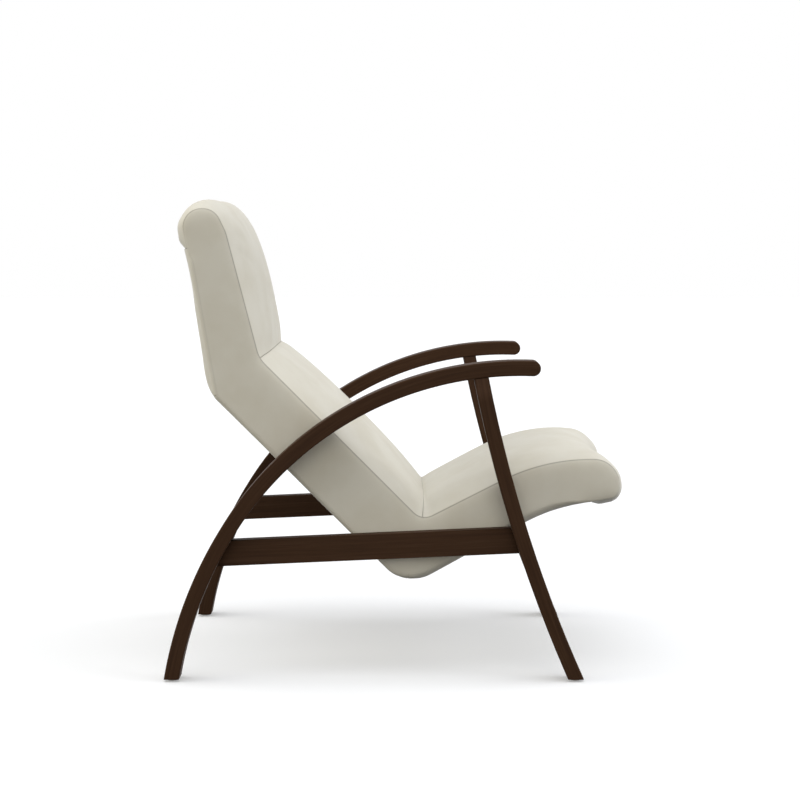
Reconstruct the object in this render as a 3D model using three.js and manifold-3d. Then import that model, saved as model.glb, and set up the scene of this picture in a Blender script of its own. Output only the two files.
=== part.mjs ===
// Lounge chair: two bent-wood side frames that carry one upholstered shell.
// Millimetres and degrees. X runs across the chair, -Y is the front, +Z is up.
// The origin is on the floor under the middle of the chair.
import * as THREE from "three";
import { mergeVertices } from "three/addons/utils/BufferGeometryUtils.js";
import Module from "manifold-3d";

const wasm = await Module();
wasm.setup();

// Overall sizes and clearances
const overall_width = 660;
const frame_width = 50;
const side_gap = 5;
const fit_gap = 0.3;
const cut_overrun = 4;
const edge_round = 3;

// Arm and rear leg: one laminated piece bent to two arcs
const bend_thickness = 28;
const rear_foot_y = 416;
const rear_foot_lean = 10;
const leg_radius = 777;
const leg_sweep = 24.3;
const arm_radius = 633;
const arm_sweep = 57.8;

// Front leg: one laminated piece with a slight bow
const front_thickness = 27;
const front_foot_y = -336;
const front_foot_lean = 23.9;
const front_radius = 2670;

// Side rail
const rail_height = 48;
const rail_thickness = 25;
const rail_rise = 2.5;
const rail_drop = 40;

// Foot glides
const glide_height = 5;
const glide_diameter = 24;
const glide_round = 2;

// Dowels
const dowel_diameter = 10;
const dowel_length = 44;
const dowel_depth = 17;
const dowel_spacing = 24;
const dowel_chamfer = 1;

// Shell profile: the line of the side seams and of the back
const crease_y = -50;
const crease_z = 294;
const seat_rake = 27;
const seat_run = 256;
const nose_run = 142;
const nose_thickness = 72;
const nose_under_rake = 9.5;
const seat_thickness = 98;
const seat_under_rake = 29.2;
const lumbar_rake = 45.2;
const lumbar_run = 430;
const lumbar_thickness = 111;
const head_rake = 75.5;
const head_run = 288;
const head_thickness = 76;
const upper_back_rake = 80.2;
const crease_round = 30;
const seat_front_round = 400;
const nose_round = 52;
const nose_lower_round = 20;
const under_round = 350;
const belly_round = 70;
const kink_round = 12;
const head_round = 37;
const junction_round = 40;
const least_round = 8;
const row_room = 3;
const seam_rows = [7, 20];
const edge_room_share = 0.96;

// Shell layers
const skin_thickness = 6;
const plate_thickness = 18;
const pad_depth = 40;
const roll_depth = 26;
const cover_depth = 6;
const nose_wrap = 50;
const head_wrap = 75;

// Crowns of the pads and of the plain covers
const head_crown = 32;
const head_roll = 13;
const lumbar_crown = 33;
const seat_crown = 24;
const seat_ear = 13;
const seat_dish = 14;
const upper_back_roll = 8;
const lower_back_roll = 3.5;
const under_seat_roll = 4;

// Cross rails and webbing between the plates
const cross_rail_thickness = 22;
const cross_rail_height = 44;
const strap_width = 50;
const strap_thickness = 2;
const rail_setback = 3;

// Fixings between shell and side frames
const fixing_spread = 100;
const bolt_diameter = 8;
const bolt_flange_diameter = 18;
const bolt_flange_thickness = 2;
const bolt_head_across = 13;
const bolt_head_height = 6;
const insert_diameter = 13;
const insert_length = 17;
const spacer_diameter = 22;

// How the crowns run along each pad, from its first seam to its last, as shares of the crown
const head_crown_shares = [
  [0, 0],
  [0.12, 0],
  [0.27, 0.4],
  [0.36, 0.54],
  [0.5, 0.84],
  [0.65, 1],
  [0.82, 0.98],
  [0.94, 0.8],
  [1, 0.15],
];
const head_roll_shares = [
  [0, 0.3],
  [0.05, 1.1],
  [0.1, 1.1],
  [0.2, 0.8],
  [0.33, 0.15],
  [0.5, 0],
  [1, 0],
];
const lumbar_crown_shares = [
  [0, 0.2],
  [0.05, 0.85],
  [0.15, 0.98],
  [0.4, 1],
  [0.75, 1],
  [0.92, 0.82],
  [1, 0.55],
];
const seat_crown_shares = [
  [0, 0.8],
  [0.1, 1.1],
  [0.3, 1.17],
  [0.55, 1.05],
  [0.7, 0.3],
  [0.8, 0],
  [1, 0],
];
const seat_ear_shares = [
  [0, 0],
  [0.55, 0],
  [0.7, 0.3],
  [0.78, 0.42],
  [0.87, 0.85],
  [0.93, 1.15],
  [0.975, 1.1],
  [1, 0.2],
];
const seat_dish_shares = [
  [0, 0],
  [0.6, 0],
  [0.74, 0.45],
  [0.82, 0.85],
  [0.9, 0.8],
  [1, 0],
];
const cover_roll_shares = [
  [0, 0.2],
  [0.12, 0.85],
  [0.5, 1],
  [0.88, 0.85],
  [1, 0.2],
];
const upper_back_roll_shares = [
  [0, 0.9],
  [0.1, 1],
  [0.55, 1],
  [0.85, 0.5],
  [1, 0.1],
];
// Where the cross-sections of a pad have their points, from the middle to the side seam
const across_shares = [0, 0.3, 0.55, 0.75, 0.88, 0.96, 1];
const crown_power = 4;
const roll_power = 12;
const ear_place_share = 0.84;
const ear_width_share = 0.3;
const dish_width_share = 0.8;

// Worked out from the sizes above
const rad = THREE.MathUtils.degToRad;
const frame_x = (overall_width - frame_width) / 2;
const shell_half = overall_width / 2 - frame_width - side_gap;
const skin_half = shell_half - skin_thickness;
const pad_half = skin_half - fit_gap;
const plate_x = pad_half - plate_thickness / 2;

// Plane helpers: a place is [y, z], a heading is an angle in radians from +Y towards +Z
const step = ([y, z], heading, distance) => [
  y + distance * Math.cos(heading),
  z + distance * Math.sin(heading),
];
const left = (heading) => heading + Math.PI / 2;
const right = (heading) => heading - Math.PI / 2;
const distance = (a, b) => Math.hypot(b[0] - a[0], b[1] - a[1]);
const bearing = (a, b) => Math.atan2(b[1] - a[1], b[0] - a[0]);
const steps = (count) => Array.from({ length: count + 1 }, (_, k) => k / count);
const arc = (centre, radius, from, to, count) =>
  steps(count).map((k) => step(centre, from + (to - from) * k, radius));

// Where two lines meet, each given by a place and a heading
function meet(a, heading_a, b, heading_b) {
  const across = Math.sin(heading_b - heading_a);
  const along = distance(a, b) * Math.sin(heading_b - bearing(a, b));
  return step(a, heading_a, along / across);
}

// Where a line meets a circle, on the side that the line heads for
function reach(place, heading, centre, radius) {
  const foot = distance(place, centre) * Math.cos(bearing(place, centre) - heading);
  const offset = distance(place, centre) * Math.sin(bearing(place, centre) - heading);
  return step(place, heading, foot + Math.sqrt(radius * radius - offset * offset));
}

// A flat outline in the YZ plane, drawn to a width across X, with its middle at x = 0
const across_x = new THREE.Matrix4().makeBasis(
  new THREE.Vector3(0, 1, 0),
  new THREE.Vector3(0, 0, 1),
  new THREE.Vector3(1, 0, 0),
);
function board(outline, width, round = 0, bevel_steps = 2) {
  const shape = new THREE.Shape(outline.map(([y, z]) => new THREE.Vector2(y, z)));
  const geometry = new THREE.ExtrudeGeometry(shape, {
    depth: width - 2 * round,
    bevelEnabled: round > 0,
    bevelThickness: round,
    bevelSize: round,
    bevelOffset: -round,
    bevelSegments: bevel_steps,
  });
  geometry.translate(0, 0, -width / 2 + round);
  return geometry.applyMatrix4(across_x);
}

// A round bar or hole along a heading in the YZ plane, or along X
function bar_in_plane(diameter, length, x, place, heading, sides = 16) {
  const geometry = new THREE.CylinderGeometry(diameter / 2, diameter / 2, length, sides);
  geometry.rotateX(heading);
  return geometry.translate(x, place[0], place[1]);
}
function bar_along_x(diameter, length, x, place, sides = 16) {
  const geometry = new THREE.CylinderGeometry(diameter / 2, diameter / 2, length, sides);
  geometry.rotateZ(Math.PI / 2);
  return geometry.translate(x, place[0], place[1]);
}

// Joining and cutting closed shapes
function solid(geometry) {
  const plain = geometry.clone();
  plain.deleteAttribute("normal");
  plain.deleteAttribute("uv");
  const welded = mergeVertices(plain);
  return new wasm.Manifold(
    new wasm.Mesh({
      numProp: 3,
      vertProperties: welded.attributes.position.array,
      triVerts: new Uint32Array(welded.index.array),
    }),
  );
}
function surface_of(body) {
  const mesh = body.getMesh();
  const result = new THREE.BufferGeometry();
  result.setAttribute("position", new THREE.BufferAttribute(mesh.vertProperties, 3));
  result.setIndex(new THREE.BufferAttribute(mesh.triVerts, 1));
  result.computeVertexNormals();
  return result;
}
function cut(geometry, tools) {
  let body = solid(geometry);
  for (const tool of tools) {
    body = body.subtract(solid(tool));
  }
  return surface_of(body);
}

// Finishes
const finishes = {
  wood: { color: 0x35271d, roughness: 0.45, metalness: 0 },
  hide: { color: 0xd6d1c4, roughness: 0.6, metalness: 0 },
  plywood: { color: 0xc8a878, roughness: 0.75, metalness: 0 },
  webbing: { color: 0x3c3a38, roughness: 0.9, metalness: 0 },
  steel: { color: 0xb4b4b2, roughness: 0.35, metalness: 1 },
  rubber: { color: 0x222222, roughness: 0.8, metalness: 0 },
  plastic: { color: 0xbdb9b2, roughness: 0.5, metalness: 0 },
};
function piece(name, geometry, finish) {
  const mesh = new THREE.Mesh(geometry, new THREE.MeshStandardMaterial(finishes[finish]));
  mesh.name = name;
  return mesh;
}

// The two arcs of the arm and rear leg, about centres in front of them
const foot_heading = left(rad(rear_foot_lean));
const leg_centre = step([rear_foot_y, glide_height], left(foot_heading), leg_radius);
const foot_angle = right(foot_heading);
const shoulder_angle = foot_angle + rad(leg_sweep);
const shoulder = step(leg_centre, shoulder_angle, leg_radius);
const arm_centre = step(shoulder, shoulder_angle, -arm_radius);
const tip_angle = shoulder_angle + rad(arm_sweep);
const tip = step(arm_centre, tip_angle, arm_radius);

function arm_outline() {
  const edge = (offset) => {
    const floor_angle = Math.asin((glide_height - leg_centre[1]) / (leg_radius + offset));
    return [
      ...arc(leg_centre, leg_radius + offset, floor_angle, shoulder_angle, 8),
      ...arc(arm_centre, arm_radius + offset, shoulder_angle, tip_angle, 18).slice(1),
    ];
  };
  const outer = edge(bend_thickness / 2);
  const inner = edge(-bend_thickness / 2).reverse();
  const nose = arc(tip, bend_thickness / 2, tip_angle, tip_angle + Math.PI, 8).slice(1, -1);
  return [...outer, ...nose, ...inner];
}

// The front leg's arc, about a centre far in front of it and above
const front_heading = rad(90 - front_foot_lean);
const front_centre = step([front_foot_y, glide_height], left(front_heading), front_radius);

// The front leg's edges run from the floor up to the arm's underside
const arm_underside = arm_radius - bend_thickness / 2 - fit_gap;
function front_edge(offset) {
  const radius = front_radius + offset;
  const floor_angle = Math.asin((glide_height - front_centre[1]) / radius);
  const span = distance(front_centre, arm_centre);
  const square = radius * radius + span * span - arm_underside * arm_underside;
  const top_angle = bearing(front_centre, arm_centre) + Math.acos(square / (2 * radius * span));
  return arc(front_centre, radius, floor_angle, top_angle, 10);
}
function front_outline() {
  const rear = front_edge(front_thickness / 2);
  const front = front_edge(-front_thickness / 2).reverse();
  const from = bearing(arm_centre, rear[rear.length - 1]);
  const to = bearing(arm_centre, front[0]);
  const top = arc(arm_centre, arm_underside, from, to, 4).slice(1, -1);
  return [...rear, ...top, ...front];
}
const front_middle = front_edge(0);
const front_top = front_middle[front_middle.length - 1];
const front_top_heading = bearing(front_centre, front_top) + Math.PI / 2;

// The rail's middle line passes under the shell's crease, and its ends fit the legs' edges
const rail_heading = Math.PI - rad(rail_rise);
const rail_middle = [crease_y, crease_z - rail_drop];
const rail_front_radius = front_radius + front_thickness / 2 + fit_gap;
const rail_rear_radius = leg_radius - bend_thickness / 2 - fit_gap;
const rail_end = (centre, radius) => (offset) =>
  reach(step(rail_middle, left(rail_heading), offset), rail_heading + Math.PI, centre, radius);
const rail_front = rail_end(front_centre, rail_front_radius);
const rail_rear = rail_end(leg_centre, rail_rear_radius);

function rail_outline() {
  const half = rail_height / 2;
  const fit = (end, centre, radius, from, to) =>
    arc(centre, radius, bearing(centre, end(from)), bearing(centre, end(to)), 4);
  return [
    ...fit(rail_front, front_centre, rail_front_radius, -half, half),
    ...fit(rail_rear, leg_centre, rail_rear_radius, half, -half),
  ];
}

// Corners of the shell's profile, in order from the crease round by the nose, the belly and the head
const seat_heading = Math.PI - rad(seat_rake);
const under_heading = -rad(seat_under_rake);
const nose_under_heading = -rad(nose_under_rake);
const lower_back_heading = rad(lumbar_rake);
const upper_back_heading = rad(upper_back_rake);
const crease = [crease_y, crease_z];
const seat_front = step(crease, seat_heading, seat_run);
const nose_top = step(seat_front, Math.PI, nose_run);
const nose_bottom = step(nose_top, -Math.PI / 2, nose_thickness);
const under_line = step(crease, right(under_heading), seat_thickness);
const back_line = step(crease, right(lower_back_heading), lumbar_thickness);
const under_bend = meet(nose_bottom, nose_under_heading, under_line, under_heading);
const belly = meet(under_line, under_heading, back_line, lower_back_heading);
const junction = step(crease, lower_back_heading, lumbar_run);
const head_front = step(junction, rad(head_rake), head_run);
const head_back = step(head_front, 0, head_thickness);
const kink = meet(back_line, lower_back_heading, head_back, upper_back_heading);
const profile = [
  { at: crease, round: crease_round, inset: pad_depth, arc_steps: 4, edge_steps: 5 },
  { at: seat_front, round: seat_front_round, inset: pad_depth, arc_steps: 5, edge_steps: 1 },
  { at: nose_top, round: nose_round, inset: roll_depth, arc_steps: 5, edge_steps: 1 },
  { at: nose_bottom, round: nose_lower_round, inset: cover_depth, arc_steps: 5, edge_steps: 1 },
  { at: under_bend, round: under_round, inset: cover_depth, arc_steps: 3, edge_steps: 4 },
  { at: belly, round: belly_round, inset: cover_depth, arc_steps: 8, edge_steps: 6 },
  { at: kink, round: kink_round, inset: cover_depth, arc_steps: 4, edge_steps: 5 },
  { at: head_back, round: head_round, inset: roll_depth, arc_steps: 7, edge_steps: 1 },
  { at: head_front, round: head_round, inset: pad_depth, arc_steps: 5, edge_steps: 8 },
  { at: junction, round: junction_round, inset: pad_depth, arc_steps: 4, edge_steps: 10 },
];
const [CREASE, SEAT_FRONT, , NOSE_BOTTOM, , BELLY, KINK, HEAD_BACK, HEAD_FRONT, JUNCTION] = [
  ...profile.keys(),
];

// The profile drawn inwards, each edge by a depth of its own, with its corners still round
function drawn_in(depth_of) {
  const count = profile.length;
  const edges = profile.map(({ at, inset }, k) => {
    const heading = bearing(at, profile[(k + 1) % count].at);
    const depth = depth_of(inset);
    return { heading, depth, from: step(at, left(heading), depth) };
  });
  const sharp = profile.map(({ round, arc_steps }, k) => {
    const before = edges[(k + count - 1) % count];
    const after = edges[k];
    const at = meet(before.from, before.heading, after.from, after.heading);
    const bend = after.heading - before.heading;
    const turn = Math.atan2(Math.sin(bend), Math.cos(bend));
    const depth = Math.max(before.depth, after.depth);
    const radius = turn > 0 ? Math.max(round - depth, depth ? least_round : 0) : round + depth;
    const tangent = radius * Math.tan(Math.abs(turn) / 2);
    return { at, turn, radius, tangent, arc_steps, heading: before.heading };
  });
  // A corner is only as round as its two edges leave room for
  const room = sharp.map(({ at, tangent }, k) => {
    const next = sharp[(k + 1) % count];
    return Math.min(1, (edge_room_share * distance(at, next.at)) / (tangent + next.tangent));
  });
  const corners = sharp.map((corner, k) => {
    const share = Math.min(room[k], room[(k + count - 1) % count]);
    const radius = corner.radius * share;
    const tangent = corner.tangent * share;
    const side = Math.sign(corner.turn);
    const start = step(corner.at, corner.heading, -tangent);
    return { ...corner, radius, tangent, side, centre: step(start, left(corner.heading), side * radius) };
  });
  const on_corner = (k, part) => {
    const { centre, heading, turn, side, radius } = corners[k];
    const facing = heading + turn * part;
    return { at: step(centre, right(facing), side * radius), facing };
  };
  const on_edge = (k, part) => {
    const from = on_corner(k, 1).at;
    const to = on_corner((k + 1) % count, 0).at;
    return { at: step(from, edges[k].heading, distance(from, to) * part), facing: edges[k].heading };
  };
  const outline = corners.flatMap(({ arc_steps }, k) =>
    steps(arc_steps).map((part) => on_corner(k, part).at),
  );
  return { edges, corners, on_corner, on_edge, outline };
}
const seam_line = drawn_in(() => 0);
const plate_line = drawn_in((inset) => inset);
const pad_floor = drawn_in((inset) =>
  inset === cover_depth ? inset - fit_gap : inset - strap_thickness - 2 * fit_gap,
);

// Arc lengths along the seam line: a round corner, then the straight edge after it, and so on
const stretches = [];
let whole_run = 0;
profile.forEach(({ arc_steps, edge_steps }, k) => {
  const { radius, turn } = seam_line.corners[k];
  const from = seam_line.on_corner(k, 1).at;
  const to = seam_line.on_corner((k + 1) % profile.length, 0).at;
  const corner_length = radius * Math.abs(turn);
  stretches.push({ k, straight: false, count: arc_steps, start: whole_run, length: corner_length });
  whole_run += corner_length;
  stretches.push({ k, straight: true, count: edge_steps, start: whole_run, length: distance(from, to) });
  whole_run += distance(from, to);
});
const corner_middle = (k) => stretches[2 * k].start + stretches[2 * k].length / 2;
const past_corner = (k, length) => stretches[2 * k + 1].start + length - seam_line.corners[k].tangent;
const before_corner = (k, length) => stretches[2 * k].start - length + seam_line.corners[k].tangent;

// A place on a drawn-in line, by its arc length along the seam line
function at_run(line, run) {
  const turned = run % whole_run;
  const { k, straight, start, length } = stretches.findLast((stretch) => stretch.start <= turned);
  const part = (turned - start) / length;
  if (!straight) return line.on_corner(k, part);
  const { at, facing } = seam_line.on_edge(k, part);
  return { at: step(at, left(facing), line.edges[k].depth), facing };
}

// The arc lengths of a panel's rows: those near its two seams, and each step of the corners and edges between
function rows_between(from, to, near_seams) {
  const all = [0, whole_run].flatMap((lap) =>
    stretches.flatMap(({ start, length, count }) =>
      steps(count)
        .slice(0, -1)
        .map((part) => lap + start + length * part),
    ),
  );
  const first = from + fit_gap / 2;
  const last = to - fit_gap / 2;
  const ends = [0, ...near_seams].flatMap((inset) => [first + inset, last - inset]);
  const clear = (run) => ends.every((end) => Math.abs(run - end) > row_room);
  const inside = all.filter((run) => run > first && run < last && clear(run));
  return [...ends, ...inside].sort((a, b) => a - b);
}

// A smooth value from a table of [share, value] rows
function from_shares(rows, share) {
  const k = Math.max(rows.findIndex(([place]) => place >= share), 1);
  const [[from, low], [to, high]] = [rows[k - 1], rows[k]];
  return low + (high - low) * THREE.MathUtils.smoothstep(share, from, to);
}

// Upholstery along a stretch of the seam line: crowned outside, flat on the line that carries it
const across = [...across_shares.slice(1).reverse().map((share) => -share), ...across_shares];
function upholstery(from, to, near_seams, crown_at) {
  const positions = [];
  const ring = across.length + 2;
  const runs = rows_between(from, to, near_seams);
  for (const run of runs) {
    const share = (run - from) / (to - from);
    const outer = at_run(seam_line, run);
    const inner = at_run(pad_floor, run).at;
    for (const place of across) {
      const [y, z] = step(outer.at, right(outer.facing), crown_at(share, place));
      positions.push(place * pad_half, y, z);
    }
    positions.push(pad_half, ...inner, -pad_half, ...inner);
  }
  const rows = runs.length - 1;
  const faces = [];
  for (let row = 0; row < rows; row++) {
    for (let k = 0; k < ring; k++) {
      const a = row * ring + k;
      const b = row * ring + ((k + 1) % ring);
      faces.push(a, a + ring, b, b, a + ring, b + ring);
    }
  }
  const last = rows * ring;
  for (let k = 0; k < ring - 2; k++) {
    faces.push(ring - 1, k, k + 1);
    faces.push(last + ring - 1, last + k + 1, last + k);
  }
  const geometry = new THREE.BufferGeometry();
  geometry.setAttribute("position", new THREE.Float32BufferAttribute(positions, 3));
  geometry.setIndex(faces);
  geometry.computeVertexNormals();
  return geometry;
}
const crown = (place) => 1 - Math.abs(place) ** crown_power;
const roll = (place) => 1 - Math.abs(place) ** roll_power;
const ear = (place) =>
  Math.max(0, 1 - ((Math.abs(place) - ear_place_share) / ear_width_share) ** 2) * roll(place);
const dish = (place) => -Math.max(0, 1 - (place / dish_width_share) ** 2);
const layer = (height, rows, form) => (share, place) => height * from_shares(rows, share) * form(place);
const layered =
  (...layers) =>
  (share, place) =>
    layers.reduce((sum, height_at) => sum + height_at(share, place), 0);

// Fixings: two on the rail about the belly, one on the arm where it crosses the shell
const rail_fixing = (offset) => {
  const y = seam_line.corners[BELLY].centre[0] + offset;
  return [y, rail_middle[1] + (y - rail_middle[0]) * Math.tan(rail_heading)];
};
const plate_middle = (pad_depth + lumbar_thickness - cover_depth) / 2;
const arm_fixing = reach(
  step(crease, right(lower_back_heading), plate_middle),
  lower_back_heading,
  arm_centre,
  arm_radius,
);
const fixings = [
  { name: "rail_front", at: rail_fixing(-fixing_spread / 2) },
  { name: "rail_rear", at: rail_fixing(fixing_spread / 2) },
  { name: "arm", at: arm_fixing },
];

// Dowels: each pair lies across its joint
const rail_dowels = [-dowel_spacing / 2, dowel_spacing / 2];
const dowel_sets = [
  ...rail_dowels.map((offset, k) => ({
    name: `rail_front_dowel_${k + 1}`,
    x: 0,
    on_rail: true,
    at: rail_front(offset),
    heading: rail_heading,
  })),
  ...rail_dowels.map((offset, k) => ({
    name: `rail_rear_dowel_${k + 1}`,
    x: 0,
    on_rail: true,
    at: rail_rear(offset),
    heading: rail_heading + Math.PI,
  })),
  ...rail_dowels.map((offset, k) => ({
    name: `arm_dowel_${k + 1}`,
    x: offset,
    on_rail: false,
    at: front_top,
    heading: front_top_heading,
  })),
];
const dowel_middle = ({ at, heading }) => step(at, heading, dowel_depth - dowel_length / 2);

function dowel(x, place, heading) {
  const radius = dowel_diameter / 2;
  const half = dowel_length / 2;
  const outline = [
    [0, -half],
    [radius - dowel_chamfer, -half],
    [radius, -half + dowel_chamfer],
    [radius, half - dowel_chamfer],
    [radius - dowel_chamfer, half],
    [0, half],
  ];
  const geometry = new THREE.LatheGeometry(outline.map(([r, l]) => new THREE.Vector2(r, l)), 12);
  return geometry.rotateX(heading).translate(x, place[0], place[1]);
}
const dowel_hole = (x, set) =>
  bar_in_plane(dowel_diameter + 2 * fit_gap, dowel_length + 2 * fit_gap, x, dowel_middle(set), set.heading);

// Glides under the four feet
function glide() {
  const radius = glide_diameter / 2;
  const bottom = radius - glide_round;
  const round = steps(3).map((k) => [
    bottom + glide_round * Math.sin((k * Math.PI) / 2),
    glide_round * (1 - Math.cos((k * Math.PI) / 2)),
  ]);
  const top = glide_height - fit_gap;
  const outline = [[0, 0], ...round, [radius, top], [0, top]];
  return new THREE.LatheGeometry(outline.map(([r, z]) => new THREE.Vector2(r, z)), 24).rotateX(Math.PI / 2);
}

// One side frame, built about its own middle: toward is +1 where the chair's middle lies at +X
function side_frame(side, toward) {
  const group = new THREE.Group();
  const rail_x = toward * (frame_width - rail_thickness) / 2;
  const face_x = (toward * frame_width) / 2;
  const holes = dowel_sets.map((set) => dowel_hole(set.on_rail ? rail_x : set.x, set));
  const [front_insert, rear_insert, arm_insert] = fixings.map(({ at }) =>
    bar_along_x(
      insert_diameter + 2 * fit_gap,
      insert_length + 2 * fit_gap + cut_overrun,
      face_x - toward * (insert_length + 2 * fit_gap - cut_overrun) / 2,
      at,
    ),
  );
  const [front_holes, rear_holes, arm_holes] = [holes.slice(0, 2), holes.slice(2, 4), holes.slice(4)];
  const arm = board(arm_outline(), frame_width, edge_round);
  const leg = board(front_outline(), frame_width, edge_round);
  const rail = board(rail_outline(), rail_thickness, edge_round / 2, 1).translate(rail_x, 0, 0);
  group.add(piece(`${side}_arm_rear_leg`, cut(arm, [...rear_holes, ...arm_holes, arm_insert]), "wood"));
  group.add(piece(`${side}_front_leg`, cut(leg, [...front_holes, ...arm_holes]), "wood"));
  const rail_cuts = [...front_holes, ...rear_holes, front_insert, rear_insert];
  group.add(piece(`${side}_side_rail`, cut(rail, rail_cuts), "wood"));
  for (const set of dowel_sets) {
    const x = set.on_rail ? rail_x : set.x;
    group.add(piece(`${side}_${set.name}`, dowel(x, dowel_middle(set), set.heading), "plywood"));
  }
  for (const [name, y] of [["rear", rear_foot_y], ["front", front_foot_y]]) {
    const foot = piece(`${side}_${name}_glide`, glide(), "plastic");
    foot.position.y = y;
    group.add(foot);
  }
  for (const { name, at } of fixings) {
    const bore = bar_along_x(bolt_diameter + 2 * fit_gap, insert_length + 2 * cut_overrun, 0, at);
    const sleeve = bar_along_x(insert_diameter, insert_length, 0, at);
    const insert = piece(`${side}_${name}_insert`, cut(sleeve, [bore]), "steel");
    insert.position.x = face_x - (toward * insert_length) / 2;
    group.add(insert);
    const ring_thickness = side_gap - 2 * fit_gap;
    const ring = bar_along_x(spacer_diameter, ring_thickness, 0, at, 20);
    const spacer = piece(`${side}_${name}_spacer`, cut(ring, [bore]), "rubber");
    spacer.position.x = face_x + (toward * side_gap) / 2;
    group.add(spacer);
    group.add(bolt(side, name, at, face_x, toward));
  }
  group.position.x = -toward * frame_x;
  return group;
}

// A flanged hexagon bolt from inside the shell into the insert
function bolt(side, name, at, face_x, toward) {
  const seat_x = side_gap + skin_thickness + fit_gap + plate_thickness + fit_gap;
  const shank = seat_x + insert_length - fit_gap;
  const outline = [
    [0, -shank],
    [bolt_diameter / 2, -shank],
    [bolt_diameter / 2, 0],
    [bolt_flange_diameter / 2, 0],
    [bolt_flange_diameter / 2, bolt_flange_thickness],
    [0, bolt_flange_thickness],
  ];
  const body = new THREE.LatheGeometry(outline.map(([r, l]) => new THREE.Vector2(r, l)), 12);
  const hexagon_radius = bolt_head_across / Math.sqrt(3);
  const head = new THREE.CylinderGeometry(hexagon_radius, hexagon_radius, bolt_head_height, 6);
  head.translate(0, bolt_head_height / 2, 0);
  const whole = surface_of(solid(body).add(solid(head)));
  whole.rotateZ((-toward * Math.PI) / 2).translate(0, at[0], at[1]);
  const result = piece(`${side}_${name}_bolt`, whole, "steel");
  result.position.x = face_x + toward * seat_x;
  return result;
}

// The shell's two sides: a plywood plate and the upholstered skin over it
function shell_side(side, toward) {
  const group = new THREE.Group();
  const bores = fixings.map(({ at }) =>
    bar_along_x(bolt_diameter + 2 * fit_gap, plate_thickness + 2 * cut_overrun, 0, at),
  );
  const plate = piece(`${side}_plate`, cut(board(plate_line.outline, plate_thickness), bores), "plywood");
  plate.position.x = -toward * plate_x;
  const cover = board(seam_line.outline, skin_thickness, skin_thickness / 2 - fit_gap);
  const skin = piece(`${side}_side_panel`, cut(cover, bores), "hide");
  skin.position.x = -toward * (shell_half - skin_thickness / 2);
  group.add(plate, skin);
  return group;
}

// A bar or strap across the shell, set along the plates' edge at a share of one of its stretches
function cross_bar(name, { at, facing }, [width, thickness, height], depth, finish) {
  const [y, z] = step(at, left(facing), depth);
  const bar = piece(name, new THREE.BoxGeometry(width, height, thickness), finish);
  bar.rotation.x = facing;
  bar.position.set(0, y, z);
  return bar;
}
const rail_size = [2 * (pad_half - plate_thickness - fit_gap), cross_rail_thickness, cross_rail_height];
const rail_depth = rail_setback + cross_rail_thickness / 2;
const strap_size = [2 * pad_half, strap_thickness, strap_width];
const strap_depth = -strap_thickness / 2 - fit_gap;
const cross_rail_shares = [
  ["head_rail", "on_edge", HEAD_FRONT, 0.12],
  ["back_rail", "on_edge", BELLY, 0.9],
  ["bottom_rail", "on_edge", BELLY, 0.2],
  ["seat_front_rail", "on_corner", SEAT_FRONT, 0.8],
];
const strap_shares = [
  ["head_strap", "on_edge", HEAD_FRONT, 0.6],
  ["lumbar_strap_1", "on_edge", JUNCTION, 0.2],
  ["lumbar_strap_2", "on_edge", JUNCTION, 0.5],
  ["lumbar_strap_3", "on_edge", JUNCTION, 0.8],
  ["seat_strap_1", "on_edge", CREASE, 0.24],
  ["seat_strap_2", "on_edge", CREASE, 0.78],
];

const chair = new THREE.Group();
chair.add(side_frame("right", 1), side_frame("left", -1));
chair.add(shell_side("right", 1), shell_side("left", -1));
for (const [name, on, corner, share] of cross_rail_shares) {
  chair.add(cross_bar(name, plate_line[on](corner, share), rail_size, rail_depth, "plywood"));
}
for (const [name, on, corner, share] of strap_shares) {
  chair.add(cross_bar(name, plate_line[on](corner, share), strap_size, strap_depth, "webbing"));
}

// Pads and covers, each from seam to seam
const head_step = before_corner(HEAD_BACK, head_wrap);
const nose_step = past_corner(NOSE_BOTTOM, nose_wrap);
const pads = [
  [
    "seat_pad",
    corner_middle(CREASE),
    nose_step,
    layered(
      layer(seat_crown, seat_crown_shares, crown),
      layer(seat_ear, seat_ear_shares, ear),
      layer(seat_dish, seat_dish_shares, dish),
    ),
  ],
  [
    "lumbar_pad",
    corner_middle(JUNCTION),
    whole_run + corner_middle(CREASE),
    layer(lumbar_crown, lumbar_crown_shares, crown),
  ],
  [
    "head_pad",
    head_step,
    corner_middle(JUNCTION),
    layered(layer(head_crown, head_crown_shares, crown), layer(head_roll, head_roll_shares, roll)),
  ],
];
const covers = [
  ["under_seat_cover", nose_step, corner_middle(BELLY), under_seat_roll, cover_roll_shares],
  ["lower_back_cover", corner_middle(BELLY), corner_middle(KINK), lower_back_roll, cover_roll_shares],
  ["upper_back_cover", corner_middle(KINK), head_step, upper_back_roll, upper_back_roll_shares],
];
for (const [name, from, to, surface] of pads) {
  chair.add(piece(name, upholstery(from, to, seam_rows, surface), "hide"));
}
for (const [name, from, to, height, rows] of covers) {
  chair.add(piece(name, upholstery(from, to, [], layer(height, rows, roll)), "hide"));
}

export default chair;
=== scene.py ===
# Lounge chair: two bent-wood side frames that carry one upholstered shell.
# Metres and radians. X runs across the chair, -Y is the front, +Z is up.
import cmath
from bisect import bisect_left
from functools import cache
from math import acos, ceil, copysign, cos, exp, pi, radians, sin, sqrt, tan

import bmesh
import bpy
from bpy.props import FloatProperty, FloatVectorProperty, PointerProperty
from mathutils import Matrix, Vector, noise
from mathutils.kdtree import KDTree


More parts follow.
